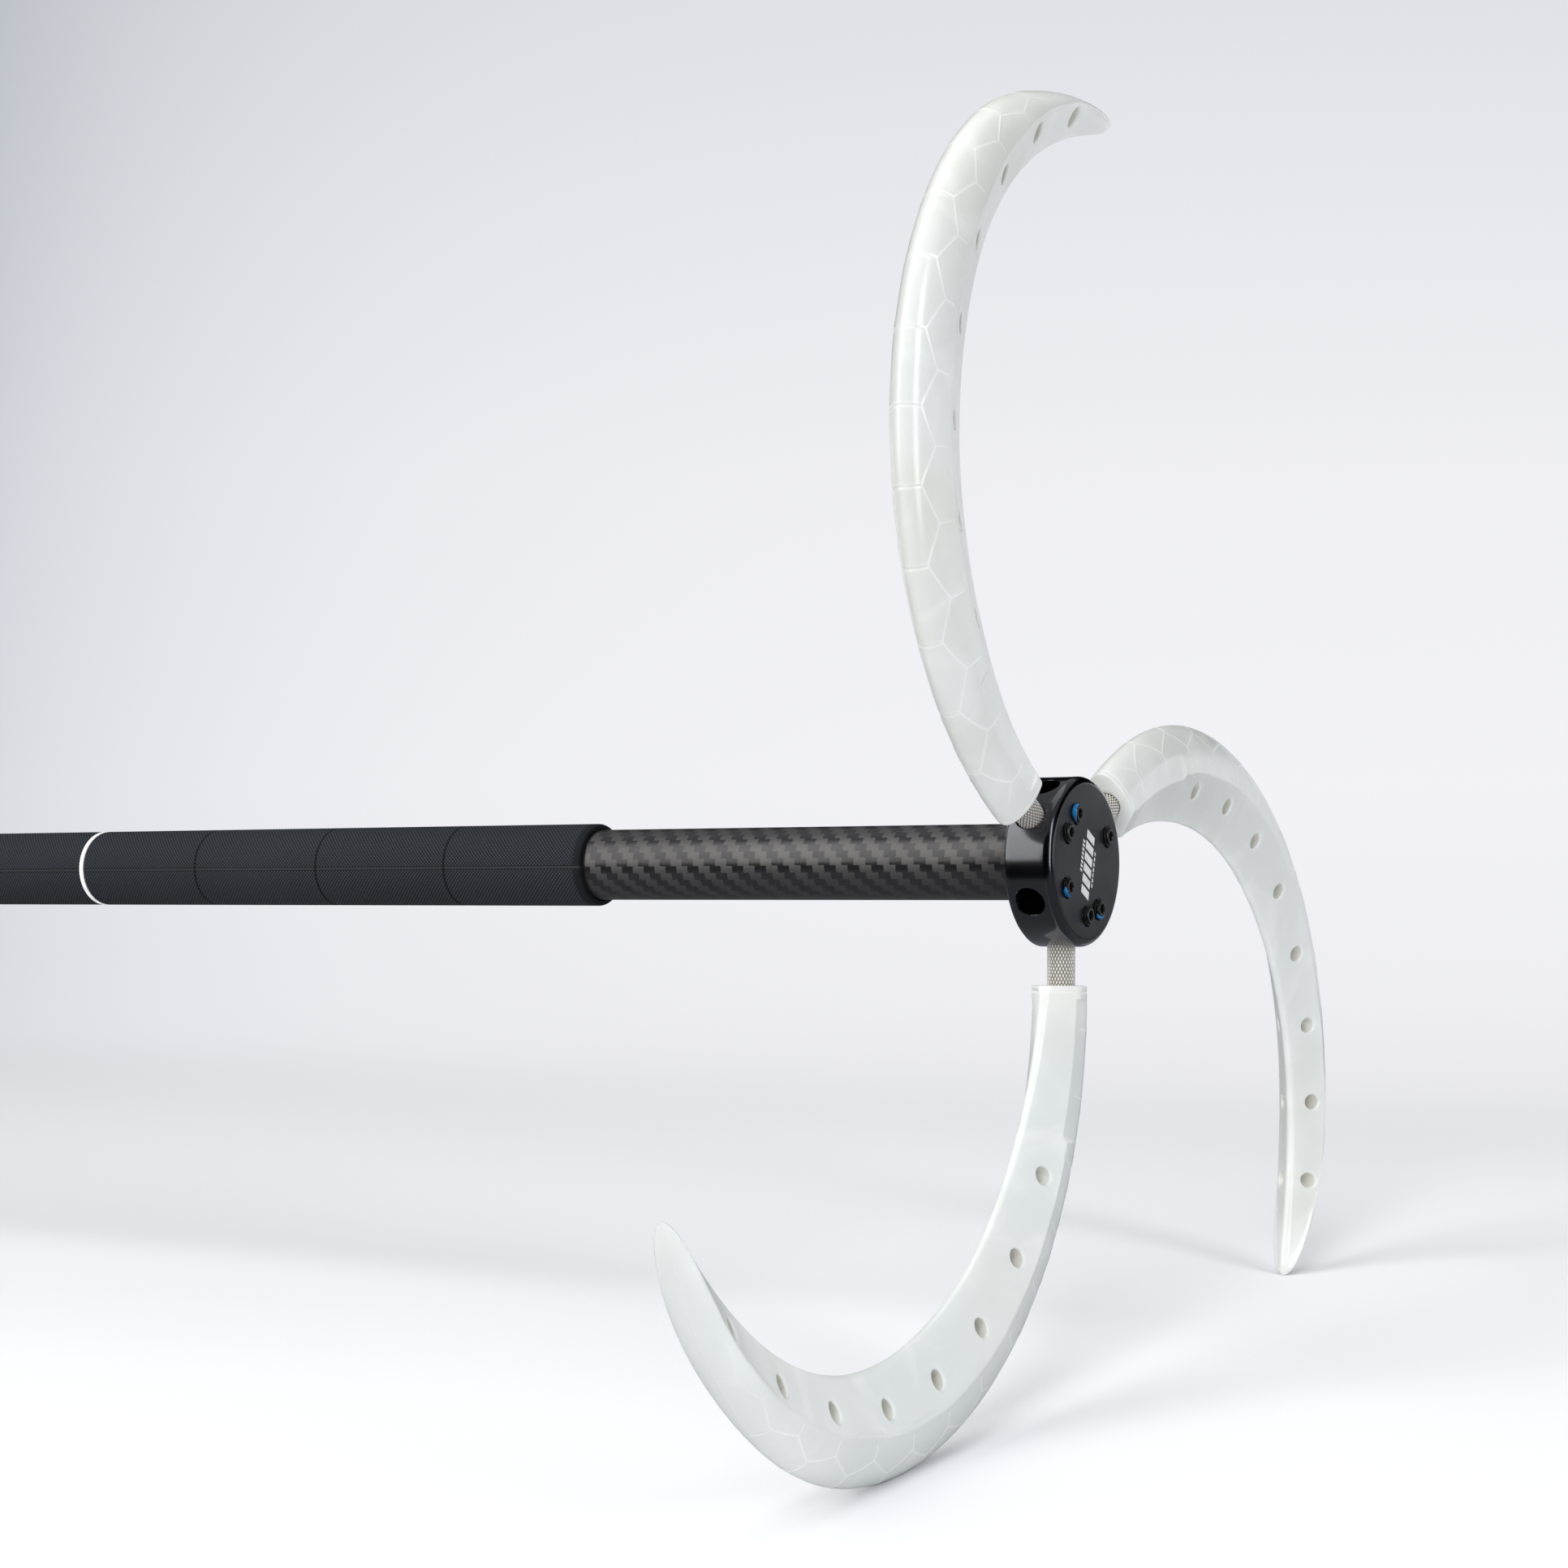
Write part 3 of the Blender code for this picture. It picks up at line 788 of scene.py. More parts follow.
def lock_object(name, middle, spread, material):
    """A lump of thread lock that hugs part of a screw, round the axis at the origin."""
    steps, section = 28, 12
    rings = []
    for share in np.arange(steps) / (steps - 1):
        angle = math.radians(middle + (share - 0.5) * spread)
        swell = math.sin(math.pi * min(max(share, 0.02), 0.98)) ** 0.45
        lump = 1 + 0.16 * math.sin(11 * share + middle) + 0.10 * math.sin(23 * share + 2 * middle)
        ring = []
        for j in range(section):
            turn = 2 * math.pi * j / section
            reach = LOCK_REACH * swell * lump * math.cos(turn) * (1 + 0.1 * math.sin(5 * j + 9 * share))
            length = LOCK_LENGTH * swell * (1 + 0.12 * math.sin(17 * share + j))
            radius = SCREW_RADIUS + reach
            x = length * math.sin(turn) - LOCK_PLACE
            ring.append((x, radius * math.cos(angle), radius * math.sin(angle)))
        rings.append(ring)
    vertices, faces = stacked(rings)
    faces.append(range(section)[::-1])
    faces.append(range((steps - 1) * section, steps * section))
    lock = solid_object(name, (vertices, faces), material)
    smooth = lock.modifiers.new("smooth", "SUBSURF")
    smooth.levels = smooth.render_levels = 1
    return baked(lock)


def make_screws(side, sign, lock_material, master):
    for number in SCREWS:
        body = f"screw_{side}_{number}"
        low, high = node_box(f"set_{body}")
        top = Vector(((high if sign > 0 else low)[0], *((low + high) / 2)[1:]))
        turn = Matrix.Rotation(math.radians(37 * number), 4, "X")
        facing = Matrix.Identity(4) if sign > 0 else Matrix.Rotation(math.pi, 4, "Z")
        screw = copied(master, f"screw_m5_{side}_{number}", Matrix.Translation(top) @ facing @ turn)
        finish_piece(screw, body, "screw", f"set_{body}")
        if number in THREAD_LOCK:
            lock = lock_object(f"thread_lock_{side}_{number}", *THREAD_LOCK[number], lock_material)
            lock.data.transform(Matrix.Translation(top) @ facing)
            finish_piece(lock, body, "screw")


# Stub

def tooth(phase):
    """Triangle wave, 1 on a ridge and 0 in a groove."""
    return 1 - np.abs((phase % 1.0) - 0.5) * 2


def stub_object(length, material):
    """Knurled stub from the origin along +Z."""
    angles = full_turn(KNURL_TEETH * 6)
    slope = math.tan(KNURL_HELIX) * KNURL_TEETH / (2 * math.pi * STUB_RADIUS)
    rings, depths = [], []
    for z in np.linspace(0.0, length, int(length / KNURL_ROW)):
        right = tooth(KNURL_TEETH * angles / (2 * math.pi) + z * slope)
        left = tooth(KNURL_TEETH * angles / (2 * math.pi) - z * slope)
        under = 1 - np.clip(np.minimum(right, left) * KNURL_RIDGE, 0, 1)
        limit = STUB_RADIUS - max(0.0, STUB_CHAMFER - min(z, length - z))
        radius = np.minimum(STUB_RADIUS - KNURL_DEPTH * under, limit)
        ring = (radius * np.cos(angles), radius * np.sin(angles), np.full_like(radius, z))
        rings.append(np.stack(ring, 1))
        depths.append(under)
    skin = stacked(rings, (0.0, 0.0, 0.0), (0.0, 0.0, length))
    stub = solid_object("stub_master", skin, material, smooth_angle=60)
    layer = stub.data.attributes.new("depth", "FLOAT", "POINT")
    layer.data.foreach_set("value", np.concatenate([*depths, [0.5, 0.5]]).astype(np.float32))
    return stub


# Claw: a hooked arc struck about a centre beside the stub's axis. Lengths in mm, angles in degrees.

CLAW_CENTRE_OUT = 35.2
CLAW_CENTRE_SIDE = 111.5
CLAW_TIP_ANGLE = 150.8
CLAW_TIP_RADIUS = 105.6
# Angle along the arc, then the radii of the inner ridge, the widest line and the back, and the half width
CLAW_STATIONS = np.array((
    (0, 99.6, 108.2, 122.0, 7.7),
    (25, 94.5, 109.2, 124.4, 7.6),
    (60, 92.6, 110.6, 124.9, 7.8),
    (100, 95.3, 109.2, 121.4, 7.9),
    (127, 97.3, 108.2, 113.0, 7.9),
    (144, 100.9, 105.9, 107.2, 5.5),
))
CLAW_RIDGE_HALF = 0.9
BACK_POWER = 1.8
HOLE_COUNT = 8
HOLE_RADIUS = 2.5
HOLE_RIM = 0.6
HOLE_CIRCLE = 104.1
HOLE_START = 30.0
HOLE_PITCH = 14.65
ROOT_ROUND_ANGLE = 0.2
ROWS_TO_HOLES = 120
ROWS_PER_PITCH = 58
ROWS_IN_TIP = 84
TIP_GROWTH = 1.6
NOSE_STEPS = 3
INNER_STEPS = 14
OUTER_STEPS = 12
BACK_STEPS = 36
HALF = NOSE_STEPS + INNER_STEPS + OUTER_STEPS + BACK_STEPS
LOOP = 2 * HALF
HOLE_COLUMN = NOSE_STEPS + INNER_STEPS
WIDEST_COLUMN = HOLE_COLUMN + OUTER_STEPS
SHOULDER_PASSES = 3
BLOCK_ROWS, BLOCK_COLUMNS = 5, 4
BLOCK_REACH = 3
SCALE_START, SCALE_PITCH, HALF_SCALES = 1.5, 9.7, 28
# Rows and columns crowd where the surface has fine detail
CROWDING = 3.0
ROW_CROWD, COLUMN_CROWD = 0.38, 0.5
ROOT_EDGES = (0.9, 2.0, 22.2)
SHOULDER_HEIGHT, SHOULDER_WIDTH = 0.24, 0.9
LINE_WIDTH, RIDGE_HIGH = 0.26, 0.10
PAIR_HALF, PAIR_WIDTH, PAIR_SHARE, GROOVE_DEEP = 0.55, 0.26, 0.5, 0.12
# The groove behind the root, the mould seam on the back, and the flat panels beside the root
COLLAR_PLACE, COLLAR_WIDTH, COLLAR_DEEP = 1.7, 0.22, 0.16
ROOT_RADIUS = 110.0
SEAM_HIGH = 0.09
PANEL_DEEP, PANEL_END = 0.85, 26
CHAMFER_HIGH, CHAMFER_REACH, CHAMFER_END = 1.5, 4.4, 3


def smoothstep(x, low, high):
    t = np.clip((np.asarray(x, float) - low) / (high - low), 0, 1)
    return t * t * (3 - 2 * t)


def hermite(x, knots, values):
    """Smooth curve through knots, with finite-difference slopes."""
    slopes = np.gradient(values, knots)
    i = np.clip(np.searchsorted(knots, x) - 1, 0, len(knots) - 2)
    span = knots[i + 1] - knots[i]
    t = (x - knots[i]) / span
    start = (1 + 2 * t) * (1 - t) ** 2 * values[i] + t * (1 - t) ** 2 * span * slopes[i]
    end = t * t * (3 - 2 * t) * values[i + 1] + t * t * (t - 1) * span * slopes[i + 1]
    return start + end


def claw_radii(angle):
    """Ridge, widest and back radii and half width at angles along the claw."""
    tip = np.array((CLAW_TIP_ANGLE, CLAW_TIP_RADIUS, CLAW_TIP_RADIUS, CLAW_TIP_RADIUS, 0.0))
    rows = np.vstack([CLAW_STATIONS, tip])
    knots = -np.sqrt(CLAW_TIP_ANGLE - rows[:, 0])
    here = -np.sqrt(np.maximum(CLAW_TIP_ANGLE - np.asarray(angle, float), 0))
    return [hermite(here, knots, rows[:, column]) for column in range(1, 5)]


def crowded(low, high, count, centres, spread):
    """Places from low to high, closer together near the centres."""
    fine = np.linspace(low, high, 20 * count + 1)
    density = 1.0 + CROWDING * sum(np.exp(-(((fine - c) / spread) ** 2)) for c in centres)
    total = np.concatenate([[0.0], np.cumsum((density[1:] + density[:-1]) / 2)])
    return np.interp(np.linspace(0, total[-1], count + 1), total, fine)


def claw_rows():
    """Angles of the claw's rows. Each hole's centre lies on one, and they crowd at the cross lines."""
    lines = np.concatenate([ROOT_EDGES, SCALE_START + SCALE_PITCH / 2 * np.arange(1, HALF_SCALES)])
    rows = crowded(ROOT_ROUND_ANGLE, HOLE_START, ROWS_TO_HOLES, lines, ROW_CROWD)
    for number in range(HOLE_COUNT - 1):
        start = HOLE_START + HOLE_PITCH * number
        between = crowded(start, start + HOLE_PITCH, ROWS_PER_PITCH, lines, ROW_CROWD)
        rows = np.concatenate([rows, between[1:]])
    share = np.arange(1, ROWS_IN_TIP) / ROWS_IN_TIP
    tip = CLAW_TIP_ANGLE - (CLAW_TIP_ANGLE - rows[-1]) * (1 - share) ** TIP_GROWTH
    return np.concatenate([rows, tip])


def nose(ridge, widest, half):
    """Half angle, radius and tangent point of the round between the two inner faces."""
    flat = np.minimum(CLAW_RIDGE_HALF, half / 3)
    phi = np.arctan2(half - flat, widest - ridge)
    size = flat * np.cos(phi) / (1 - np.sin(phi))
    return phi, size, size * np.cos(phi), ridge + size - size * np.sin(phi)


def inner_face(angle, radius):
    """Half width of the claw on its inner faces, at a radius."""
    ridge, widest, _, half = claw_radii(angle)
    _, _, side, start = nose(ridge, widest, half)
    share = (radius - start) / np.maximum(widest - start, 1e-6)
    return side + (half - side) * share


def zigzag(angles):
    """Where the scales' zigzag runs across the back, as turns in degrees: its corners, middles and here."""
    share = np.abs((angles - SCALE_START) / SCALE_PITCH % 1.0 - 0.5) * -2 + 1
    corner = np.interp(angles, (8, 12, 22, 31, 41, 60), (78, 73, 64, 59, 57, 50))
    middle = np.interp(angles, (8, 20, 46, 70), (40, 36, 33, 28))
    return corner, middle, corner + (middle - corner) * share


def back_curve(turn, widest, back, half):
    """(radius, side) of the rounded back at a turn in radians from the widest line to the top."""
    side = half * np.maximum(np.cos(turn), 0) ** (2 / BACK_POWER)
    return widest + (back - widest) * np.sin(turn) ** (2 / BACK_POWER), side


def back_columns(angles):
    """Turns of the back's columns, row by row, crowded at the zigzag, and distances across in mm."""
    fine = np.radians(np.linspace(0, 90, 361))
    places = np.zeros((len(angles), BACK_STEPS + 1))
    across = np.zeros_like(places)
    features = np.zeros((len(angles), 4))
    corner, middle, here = zigzag(angles)
    for i, (widest, back, half) in enumerate(zip(*claw_radii(angles)[1:])):
        r, h = back_curve(fine, widest, back, half)
        length = np.concatenate([[0.0], np.cumsum(np.hypot(np.diff(r), np.diff(h)))])
        marks = np.interp(np.radians((corner[i], middle[i], here[i], 9.0)), fine, length)
        across[i] = crowded(0.0, length[-1], BACK_STEPS, (marks[2],), COLUMN_CROWD)
        places[i] = np.interp(across[i], length, fine)
        features[i] = marks
    return places, across, features


def half_section(angles, back_turns):
    """(radius, side) arrays of one half of the section, rows by columns, from ridge to back."""
    ridge, widest, back, half = [v[:, None] for v in claw_radii(angles)]
    phi, size, side, start = nose(ridge, widest, half)
    turn = (math.pi / 2 - phi) * np.linspace(0, 1, NOSE_STEPS + 1)[None, :]
    nose_side = size * np.sin(turn)
    nose_radius = ridge + size - size * np.cos(turn)
    centre_line = np.clip(HOLE_CIRCLE, start + 0.35 * (widest - start), start + 0.75 * (widest - start))
    inner = start + (centre_line - start) * np.linspace(0, 1, INNER_STEPS + 1)[None, 1:]
    outer = centre_line + (widest - centre_line) * np.linspace(0, 1, OUTER_STEPS + 1)[None, 1:]
    face_radius = np.concatenate([inner, outer], 1)
    share = (face_radius - start) / np.maximum(widest - start, 1e-6)
    face_side = side + (half - side) * share
    back_radius, back_side = back_curve(back_turns[:, 1:], widest, back, half)
    radius = np.concatenate([nose_radius, face_radius, back_radius], 1)
    sides = np.concatenate([nose_side, face_side, back_side], 1)
    for _ in range(SHOULDER_PASSES):
        soft = slice(WIDEST_COLUMN - 3, WIDEST_COLUMN + 4)
        for grid in (radius, sides):
            smooth = (grid[:, :-2] + 2 * grid[:, 1:-1] + grid[:, 2:]) / 4
            grid[:, soft] = smooth[:, WIDEST_COLUMN - 4 : WIDEST_COLUMN + 3]
    return radius, sides


def scale_relief(angles, across, features):
    """Depth of the scale lines on the back, and how strongly a painted highlight pales them, rows by
    columns.

    The zigzag and the short middle lines are fine ridges. A cross line is a groove between two ridges.
    """
    a = angles[:, None]
    corner, middle, zig, edge = [column[:, None] for column in features.T]
    widest, back = [v[:, None] for v in claw_radii(angles)[1:3]]
    mm_per_degree = math.radians(1) * (widest + back) / 2
    line_at = SCALE_START + SCALE_PITCH * np.round((a - SCALE_START) / SCALE_PITCH)
    slope = (corner - middle) / (mm_per_degree * SCALE_PITCH / 2)
    zig_distance = np.abs(across - zig) / np.sqrt(1 + slope**2)
    to_cross = np.abs(a - line_at)
    cross_distance = np.where(across > zig - 0.2, to_cross * mm_per_degree, np.inf)
    to_middle = (SCALE_PITCH / 2 - to_cross) * mm_per_degree
    between = (across < zig + 0.2) & (across > edge)
    middle_distance = np.where(between, to_middle, np.inf)
    fade = (1 - 0.75 * smoothstep(a, 112, 124)) * (1 - smoothstep(a, 132, 137)) * smoothstep(a, 3.5, 6.0)
    single = np.exp(-((np.minimum(zig_distance, middle_distance) / LINE_WIDTH) ** 2))
    pair = np.exp(-(((cross_distance - PAIR_HALF) / PAIR_WIDTH) ** 2))
    between_pair = np.exp(-((cross_distance / PAIR_WIDTH) ** 2)) * (1 - single)
    ridges = np.maximum(single, PAIR_SHARE * pair)
    return (GROOVE_DEEP * between_pair - RIDGE_HIGH * ridges) * fade, ridges * fade


def shape_rows(angles):
    """(radius, side, line) grids of one half of the claw with its surface detail."""
    back_turns, across, features = back_columns(angles)
    radius, side = half_section(angles, back_turns)
    a = angles[:, None]
    along_r = np.gradient(radius, axis=1)
    along_h = np.gradient(side, axis=1)
    length = np.maximum(np.hypot(along_r, along_h), 1e-9)
    outward_r, outward_h = -along_h / length, along_r / length
    relief = np.zeros_like(radius)
    lines = np.zeros_like(radius)
    relief[:, WIDEST_COLUMN:], lines[:, WIDEST_COLUMN:] = scale_relief(angles, across, features)
    shoulder = np.hypot(radius - radius[:, [WIDEST_COLUMN]], side - side[:, [WIDEST_COLUMN]])
    relief -= SHOULDER_HEIGHT * np.exp(-((shoulder / SHOULDER_WIDTH) ** 2)) * smoothstep(a, 22, 26)
    reach = a * np.radians(1) * ROOT_RADIUS
    relief += COLLAR_DEEP * np.exp(-(((reach - COLLAR_PLACE) / COLLAR_WIDTH) ** 2))
    half = claw_radii(angles)[3][:, None]
    thick = smoothstep(half, 0.6, 3.0)
    relief *= thick
    relief[:, -1:] -= SEAM_HIGH * smoothstep(a, 60, 95) * thick
    radius = radius - outward_r * relief
    side = side - outward_h * relief
    side[:, [0, -1]] = 0.0
    panel = smoothstep(a, 1.85, 2.1) * (1 - smoothstep(a + (radius - 116) * 0.12, 22.0, 22.5))
    side = np.where(a < PANEL_END, np.minimum(side, half - PANEL_DEEP * panel), side)
    # Chamfer where the ridge meets the root
    bevel = radius[:, :1] + CHAMFER_HIGH * (1 - smoothstep(reach, 0.0, CHAMFER_REACH) ** 0.8)
    radius = np.where(a < CHAMFER_END, np.maximum(radius, bevel), radius)
    return radius, side, lines


def to_local(angle, radius, side):
    """Place on the claw in metres: X out along the stub from the hub's rim, Y back, Z across."""
    turn = np.radians(angle)
    out = CLAW_CENTRE_OUT + radius * np.sin(turn) - HUB_RADIUS / MM
    hook = CLAW_CENTRE_SIDE - radius * np.cos(turn)
    return np.stack(np.broadcast_arrays(out, -hook, side), -1) * MM


def square_turn(rows, columns):
    """Angle on a circle of a point of a square grid, in radians: 0 along the rows' direction."""
    p, q = rows / BLOCK_ROWS, columns / BLOCK_COLUMNS
    along = np.abs(p) >= np.abs(q)
    first = (math.pi / 4) * q / np.where(p == 0, 1, p) + np.where(p < 0, math.pi, 0)
    second = math.pi / 2 - (math.pi / 4) * p / np.where(q == 0, 1, q) + np.where(q < 0, math.pi, 0)
    return np.where(along, first, second)


def hole_ring(centre_angle, radius, turn):
    """(angle, radius) places on a circle about a hole's centre."""
    here = math.radians(centre_angle)
    out = HOLE_CIRCLE * math.sin(here)
    out = out + radius * (np.cos(turn) * math.cos(here) + np.sin(turn) * math.sin(here))
    hook = HOLE_CIRCLE * math.cos(here)
    hook = hook + radius * (-np.cos(turn) * math.sin(here) + np.sin(turn) * math.cos(here))
    return np.degrees(np.arctan2(out, hook)), np.hypot(out, hook)


def claw_object(materials):
    """The claw as one closed mesh, with its holes and the stub's bore worked into the grid."""
    angles = claw_rows()
    radius, side, lines = shape_rows(angles)
    rows = len(angles)
    grid_angle = np.repeat(angles[:, None], HALF + 1, 1)
    removed = np.zeros((rows, HALF + 1), bool)
    hole_loops = []
    spread = BLOCK_REACH * BLOCK_ROWS
    reach = BLOCK_REACH * BLOCK_COLUMNS
    for number in range(HOLE_COUNT):
        centre_row = ROWS_TO_HOLES + ROWS_PER_PITCH * number
        centre_angle = angles[centre_row]
        di, dj = np.meshgrid(np.arange(-spread, spread + 1), np.arange(-reach, reach + 1), indexing="ij")
        level = np.maximum(np.abs(di) / BLOCK_ROWS, np.abs(dj) / BLOCK_COLUMNS)
        turn = square_turn(di, dj)
        scale = BLOCK_REACH / np.maximum(level, 1e-6)
        far_angle = np.interp(centre_row + di * scale, np.arange(rows), angles)
        ridge, widest, _, half = claw_radii(far_angle)
        start = nose(ridge, widest, half)[3]
        column_in = (HOLE_CIRCLE - start) / INNER_STEPS
        column_out = (widest - HOLE_CIRCLE) / OUTER_STEPS
        far_radius = HOLE_CIRCLE + dj * scale * np.where(dj < 0, column_in, column_out)
        rim_angle, rim_radius = hole_ring(centre_angle, HOLE_RADIUS + HOLE_RIM, turn)
        share = np.clip((level - 1) / (BLOCK_REACH - 1), 0, 1)
        new_angle = rim_angle + (far_angle - rim_angle) * share
        new_radius = rim_radius + (far_radius - rim_radius) * share
        new_side = inner_face(new_angle, new_radius)
        block = (slice(centre_row - spread, centre_row + spread + 1),
                 slice(HOLE_COLUMN - reach, HOLE_COLUMN + reach + 1))
        inside = (level >= 1) & (level < BLOCK_REACH)
        grid_angle[block] = np.where(inside, new_angle, grid_angle[block])
        radius[block] = np.where(inside, new_radius, radius[block])
        side[block] = np.where(inside, new_side, side[block])
        removed[block] |= level < 1
        loop = [(BLOCK_ROWS, j) for j in range(-BLOCK_COLUMNS, BLOCK_COLUMNS)]
        loop += [(i, BLOCK_COLUMNS) for i in range(BLOCK_ROWS, -BLOCK_ROWS, -1)]
        loop += [(-BLOCK_ROWS, j) for j in range(BLOCK_COLUMNS, -BLOCK_COLUMNS, -1)]
        loop += [(i, -BLOCK_COLUMNS) for i in range(-BLOCK_ROWS, BLOCK_ROWS)]
        hole_loops.append((centre_row, centre_angle, loop))

    front = to_local(grid_angle, radius, side)
    mirror = front[:, -2:0:-1].copy()
    mirror[..., 2] *= -1
    grid = np.concatenate([front, mirror], 1)
    vertices = list(grid.reshape(-1, 3))
    gone = np.concatenate([removed, removed[:, -2:0:-1]], 1)

    faces, kinds = [], []
    columns = np.arange(LOOP)
    following = (columns + 1) % LOOP
    for i in range(rows - 1):
        quads = np.stack([i * LOOP + columns, i * LOOP + following,
                          (i + 1) * LOOP + following, (i + 1) * LOOP + columns], 1)
        dropped = gone[i, columns] | gone[i, following] | gone[i + 1, columns] | gone[i + 1, following]
        kept = quads[~dropped]
        faces.extend(kept)
        kinds.extend([0] * len(kept))

    for centre_row, centre_angle, loop in hole_loops:
        add_hole(vertices, faces, kinds, centre_row, centre_angle, loop)
    tip = to_local(CLAW_TIP_ANGLE, CLAW_TIP_RADIUS, 0.0)
    add_fan(vertices, faces, kinds, tip, (rows - 1) * LOOP, True)
    close_root(vertices, faces, kinds, grid[0])
    claw = mesh_object("claw_master", vertices, faces, materials)
    claw.data.polygons.foreach_set("material_index", np.array(kinds, np.int32))
    # How strongly each vertex is paled by the painted highlight on the scale lines
    painted_line_highlight = np.zeros(len(vertices), np.float32)
    painted_line_highlight[: rows * LOOP] = np.concatenate([lines, lines[:, -2:0:-1]], 1).ravel()
    claw.data.attributes.new("line", "FLOAT", "POINT").data.foreach_set("value", painted_line_highlight)
    face_out(claw.data)
    return claw


def add_hole(vertices, faces, kinds, centre_row, centre_angle, loop):
    """Rounded rims on both sides of the claw and the wall between them."""
    count = len(loop)
    steps = np.array(loop)
    turn = square_turn(steps[:, 0], steps[:, 1])
    rings = []
    for mirrored in (False, True):
        column = HOLE_COLUMN + steps[:, 1]
        column = np.where(mirrored, (LOOP - column) % LOOP, column)
        own = [(centre_row + steps[:, 0]) * LOOP + column]
        for lean in (30, 60, 90):
            ring_radius = HOLE_RADIUS + HOLE_RIM * (1 - math.sin(math.radians(lean)))
            at_angle, at_radius = hole_ring(centre_angle, ring_radius, turn)
            height = inner_face(at_angle, at_radius) - HOLE_RIM * (1 - math.cos(math.radians(lean)))
            points = to_local(at_angle, at_radius, height * (-1 if mirrored else 1))
            own.append(len(vertices) + np.arange(count))
            vertices.extend(points)
        rings.append(own)
    near, far = rings[0][-1], rings[1][-1]
    low = np.array([vertices[i] for i in near])
    high = np.array([vertices[i] for i in far])
    between = []
    for share in np.linspace(0, 1, 12)[1:-1]:
        between.append(len(vertices) + np.arange(count))
        vertices.extend(low + (high - low) * share)
    path = rings[0] + between + rings[1][::-1]
    for index, (a, b) in enumerate(zip(path, path[1:])):
        following = np.roll(np.arange(count), -1)
        faces.extend(np.stack([a, b, b[following], a[following]], 1))
        # The wall takes the second material, which paints shade into the hole
        wall = 3 <= index < len(path) - 4
        kinds.extend([1 if wall else 0] * count)


def add_fan(vertices, faces, kinds, place, start, flip):
    faces.extend(fans(len(vertices), start, LOOP, flip))
    kinds.extend([0] * LOOP)
    vertices.append(place)


ROOT_EDGE = 0.45 * MM
BORE_RADIUS = 4.15 * MM
BORE_DEPTH = 22.0 * MM


def close_root(vertices, faces, kinds, first):
    """Rounded root edge, end face, and the stub's bore."""
    middle = np.array((CLAW_CENTRE_OUT * MM - HUB_RADIUS, 0.0, 0.0))
    spoke = first - middle
    spoke[:, 0] = 0.0
    length = np.linalg.norm(spoke, axis=1)[:, None]
    unit = spoke / length
    root_x = middle[0]
    rings = [
        (root_x + ROOT_EDGE * 0.33, length - ROOT_EDGE * 0.12),
        (root_x + ROOT_EDGE * 0.08, length - ROOT_EDGE * 0.45),
        (root_x, length - ROOT_EDGE),
    ]
    for share in (0.25, 0.5, 0.75, 1.0):
        rings.append((root_x, (length - ROOT_EDGE) * (1 - share) + (BORE_RADIUS + 0.3 * MM) * share))
    bore = np.full_like(length, BORE_RADIUS)
    rings += [(root_x + 0.25 * MM, bore)]
    rings += [(root_x + BORE_DEPTH * share, bore) for share in (0.34, 0.67, 1.0)]
    previous = 0
    for x, reach in rings:
        start = len(vertices)
        points = unit * reach
        points[:, 0] = x
        vertices.extend(points)
        faces.extend(ring_quads(start, previous, LOOP))
        kinds.extend([0] * LOOP)
        previous = start
    add_fan(vertices, faces, kinds, (root_x + BORE_DEPTH, 0.0, 0.0), previous, False)


def make_claws(side, sign, claw_master, stub_master):
    outward = Vector((sign, 0, 0))
    plane = outward * (FACE_X - SOCKET_INSET)
    for number in CLAWS:
        direction = Vector(JOINTS[f"claw_turn_{side}_{number}"]["axis"]).normalized()
        body = f"claw_arm_{side}_{number}"
        foot = axis_along(direction, plane + direction * (SOCKET_FLOOR + GAP))
        stub = copied(stub_master, f"knurled_stub_{side}_{number}", foot)
        finish_piece(stub, body, "stub", f"stub_{side}_{number}")
        across = Vector((1, 0, 0)).cross(direction)
        mouth = basis(direction, across, plane + direction * HUB_RADIUS)
        claw = copied(claw_master, f"milky_claw_{side}_{number}", mouth)
        finish_piece(claw, body, "claw", f"claw_{side}_{number}")


# Studio

def make_stage():
    """A round pale floor that sweeps up into a wall."""
    radius, rise, corner = 6.0, 4.5, 1.6
    profile = [(0.0, r) for r in (0.4, 0.9, 1.6, 2.6, 3.6)]
    profile += [(corner - corner * math.cos(a), radius - corner + corner * math.sin(a))
                for a in np.radians(np.linspace(0, 90, 14))]
    profile += [(rise, radius)]
    rings = [[(r * math.cos(a), r * math.sin(a), FLOOR_Z + height) for a in full_turn(96)]
             for height, r in profile]
    skin = stacked(rings, (0.0, 0.0, FLOOR_Z))
    mesh_object("studio_floor", *skin, [stage_material()])


CAMERA_PLACE = Vector((1.02532, -0.70946, 0.03634))
CAMERA_AZIMUTH = math.radians(30.903)
CAMERA_ELEVATION = math.radians(0.852)
CAMERA_ROLL = math.radians(-1.904)
CAMERA_LENS = 62.89


# Painted light and shade of the glowing backdrop up the picture, from the floor's far part to the top
BACKDROP = (
    (0.19, "e9eaef"),
    (0.22, "e3e4e9"),
    (0.265, "dee0e5"),
    (0.30, "e8e8ed"),
    (0.36, "eeeef3"),
    (0.50, "f2f2f7"),
    (0.70, "efeff4"),
    (0.86, "e8e9ee"),
    (1.0, "e1e2e7"),
)
# The lit paper round the staff, and how far up the lit part of the backdrop reaches
PAPER_REACH = 1.3
PAPER_FRONT = -0.42
WALL_GLOW_TOP = 1.3
WALL_START = 1.2


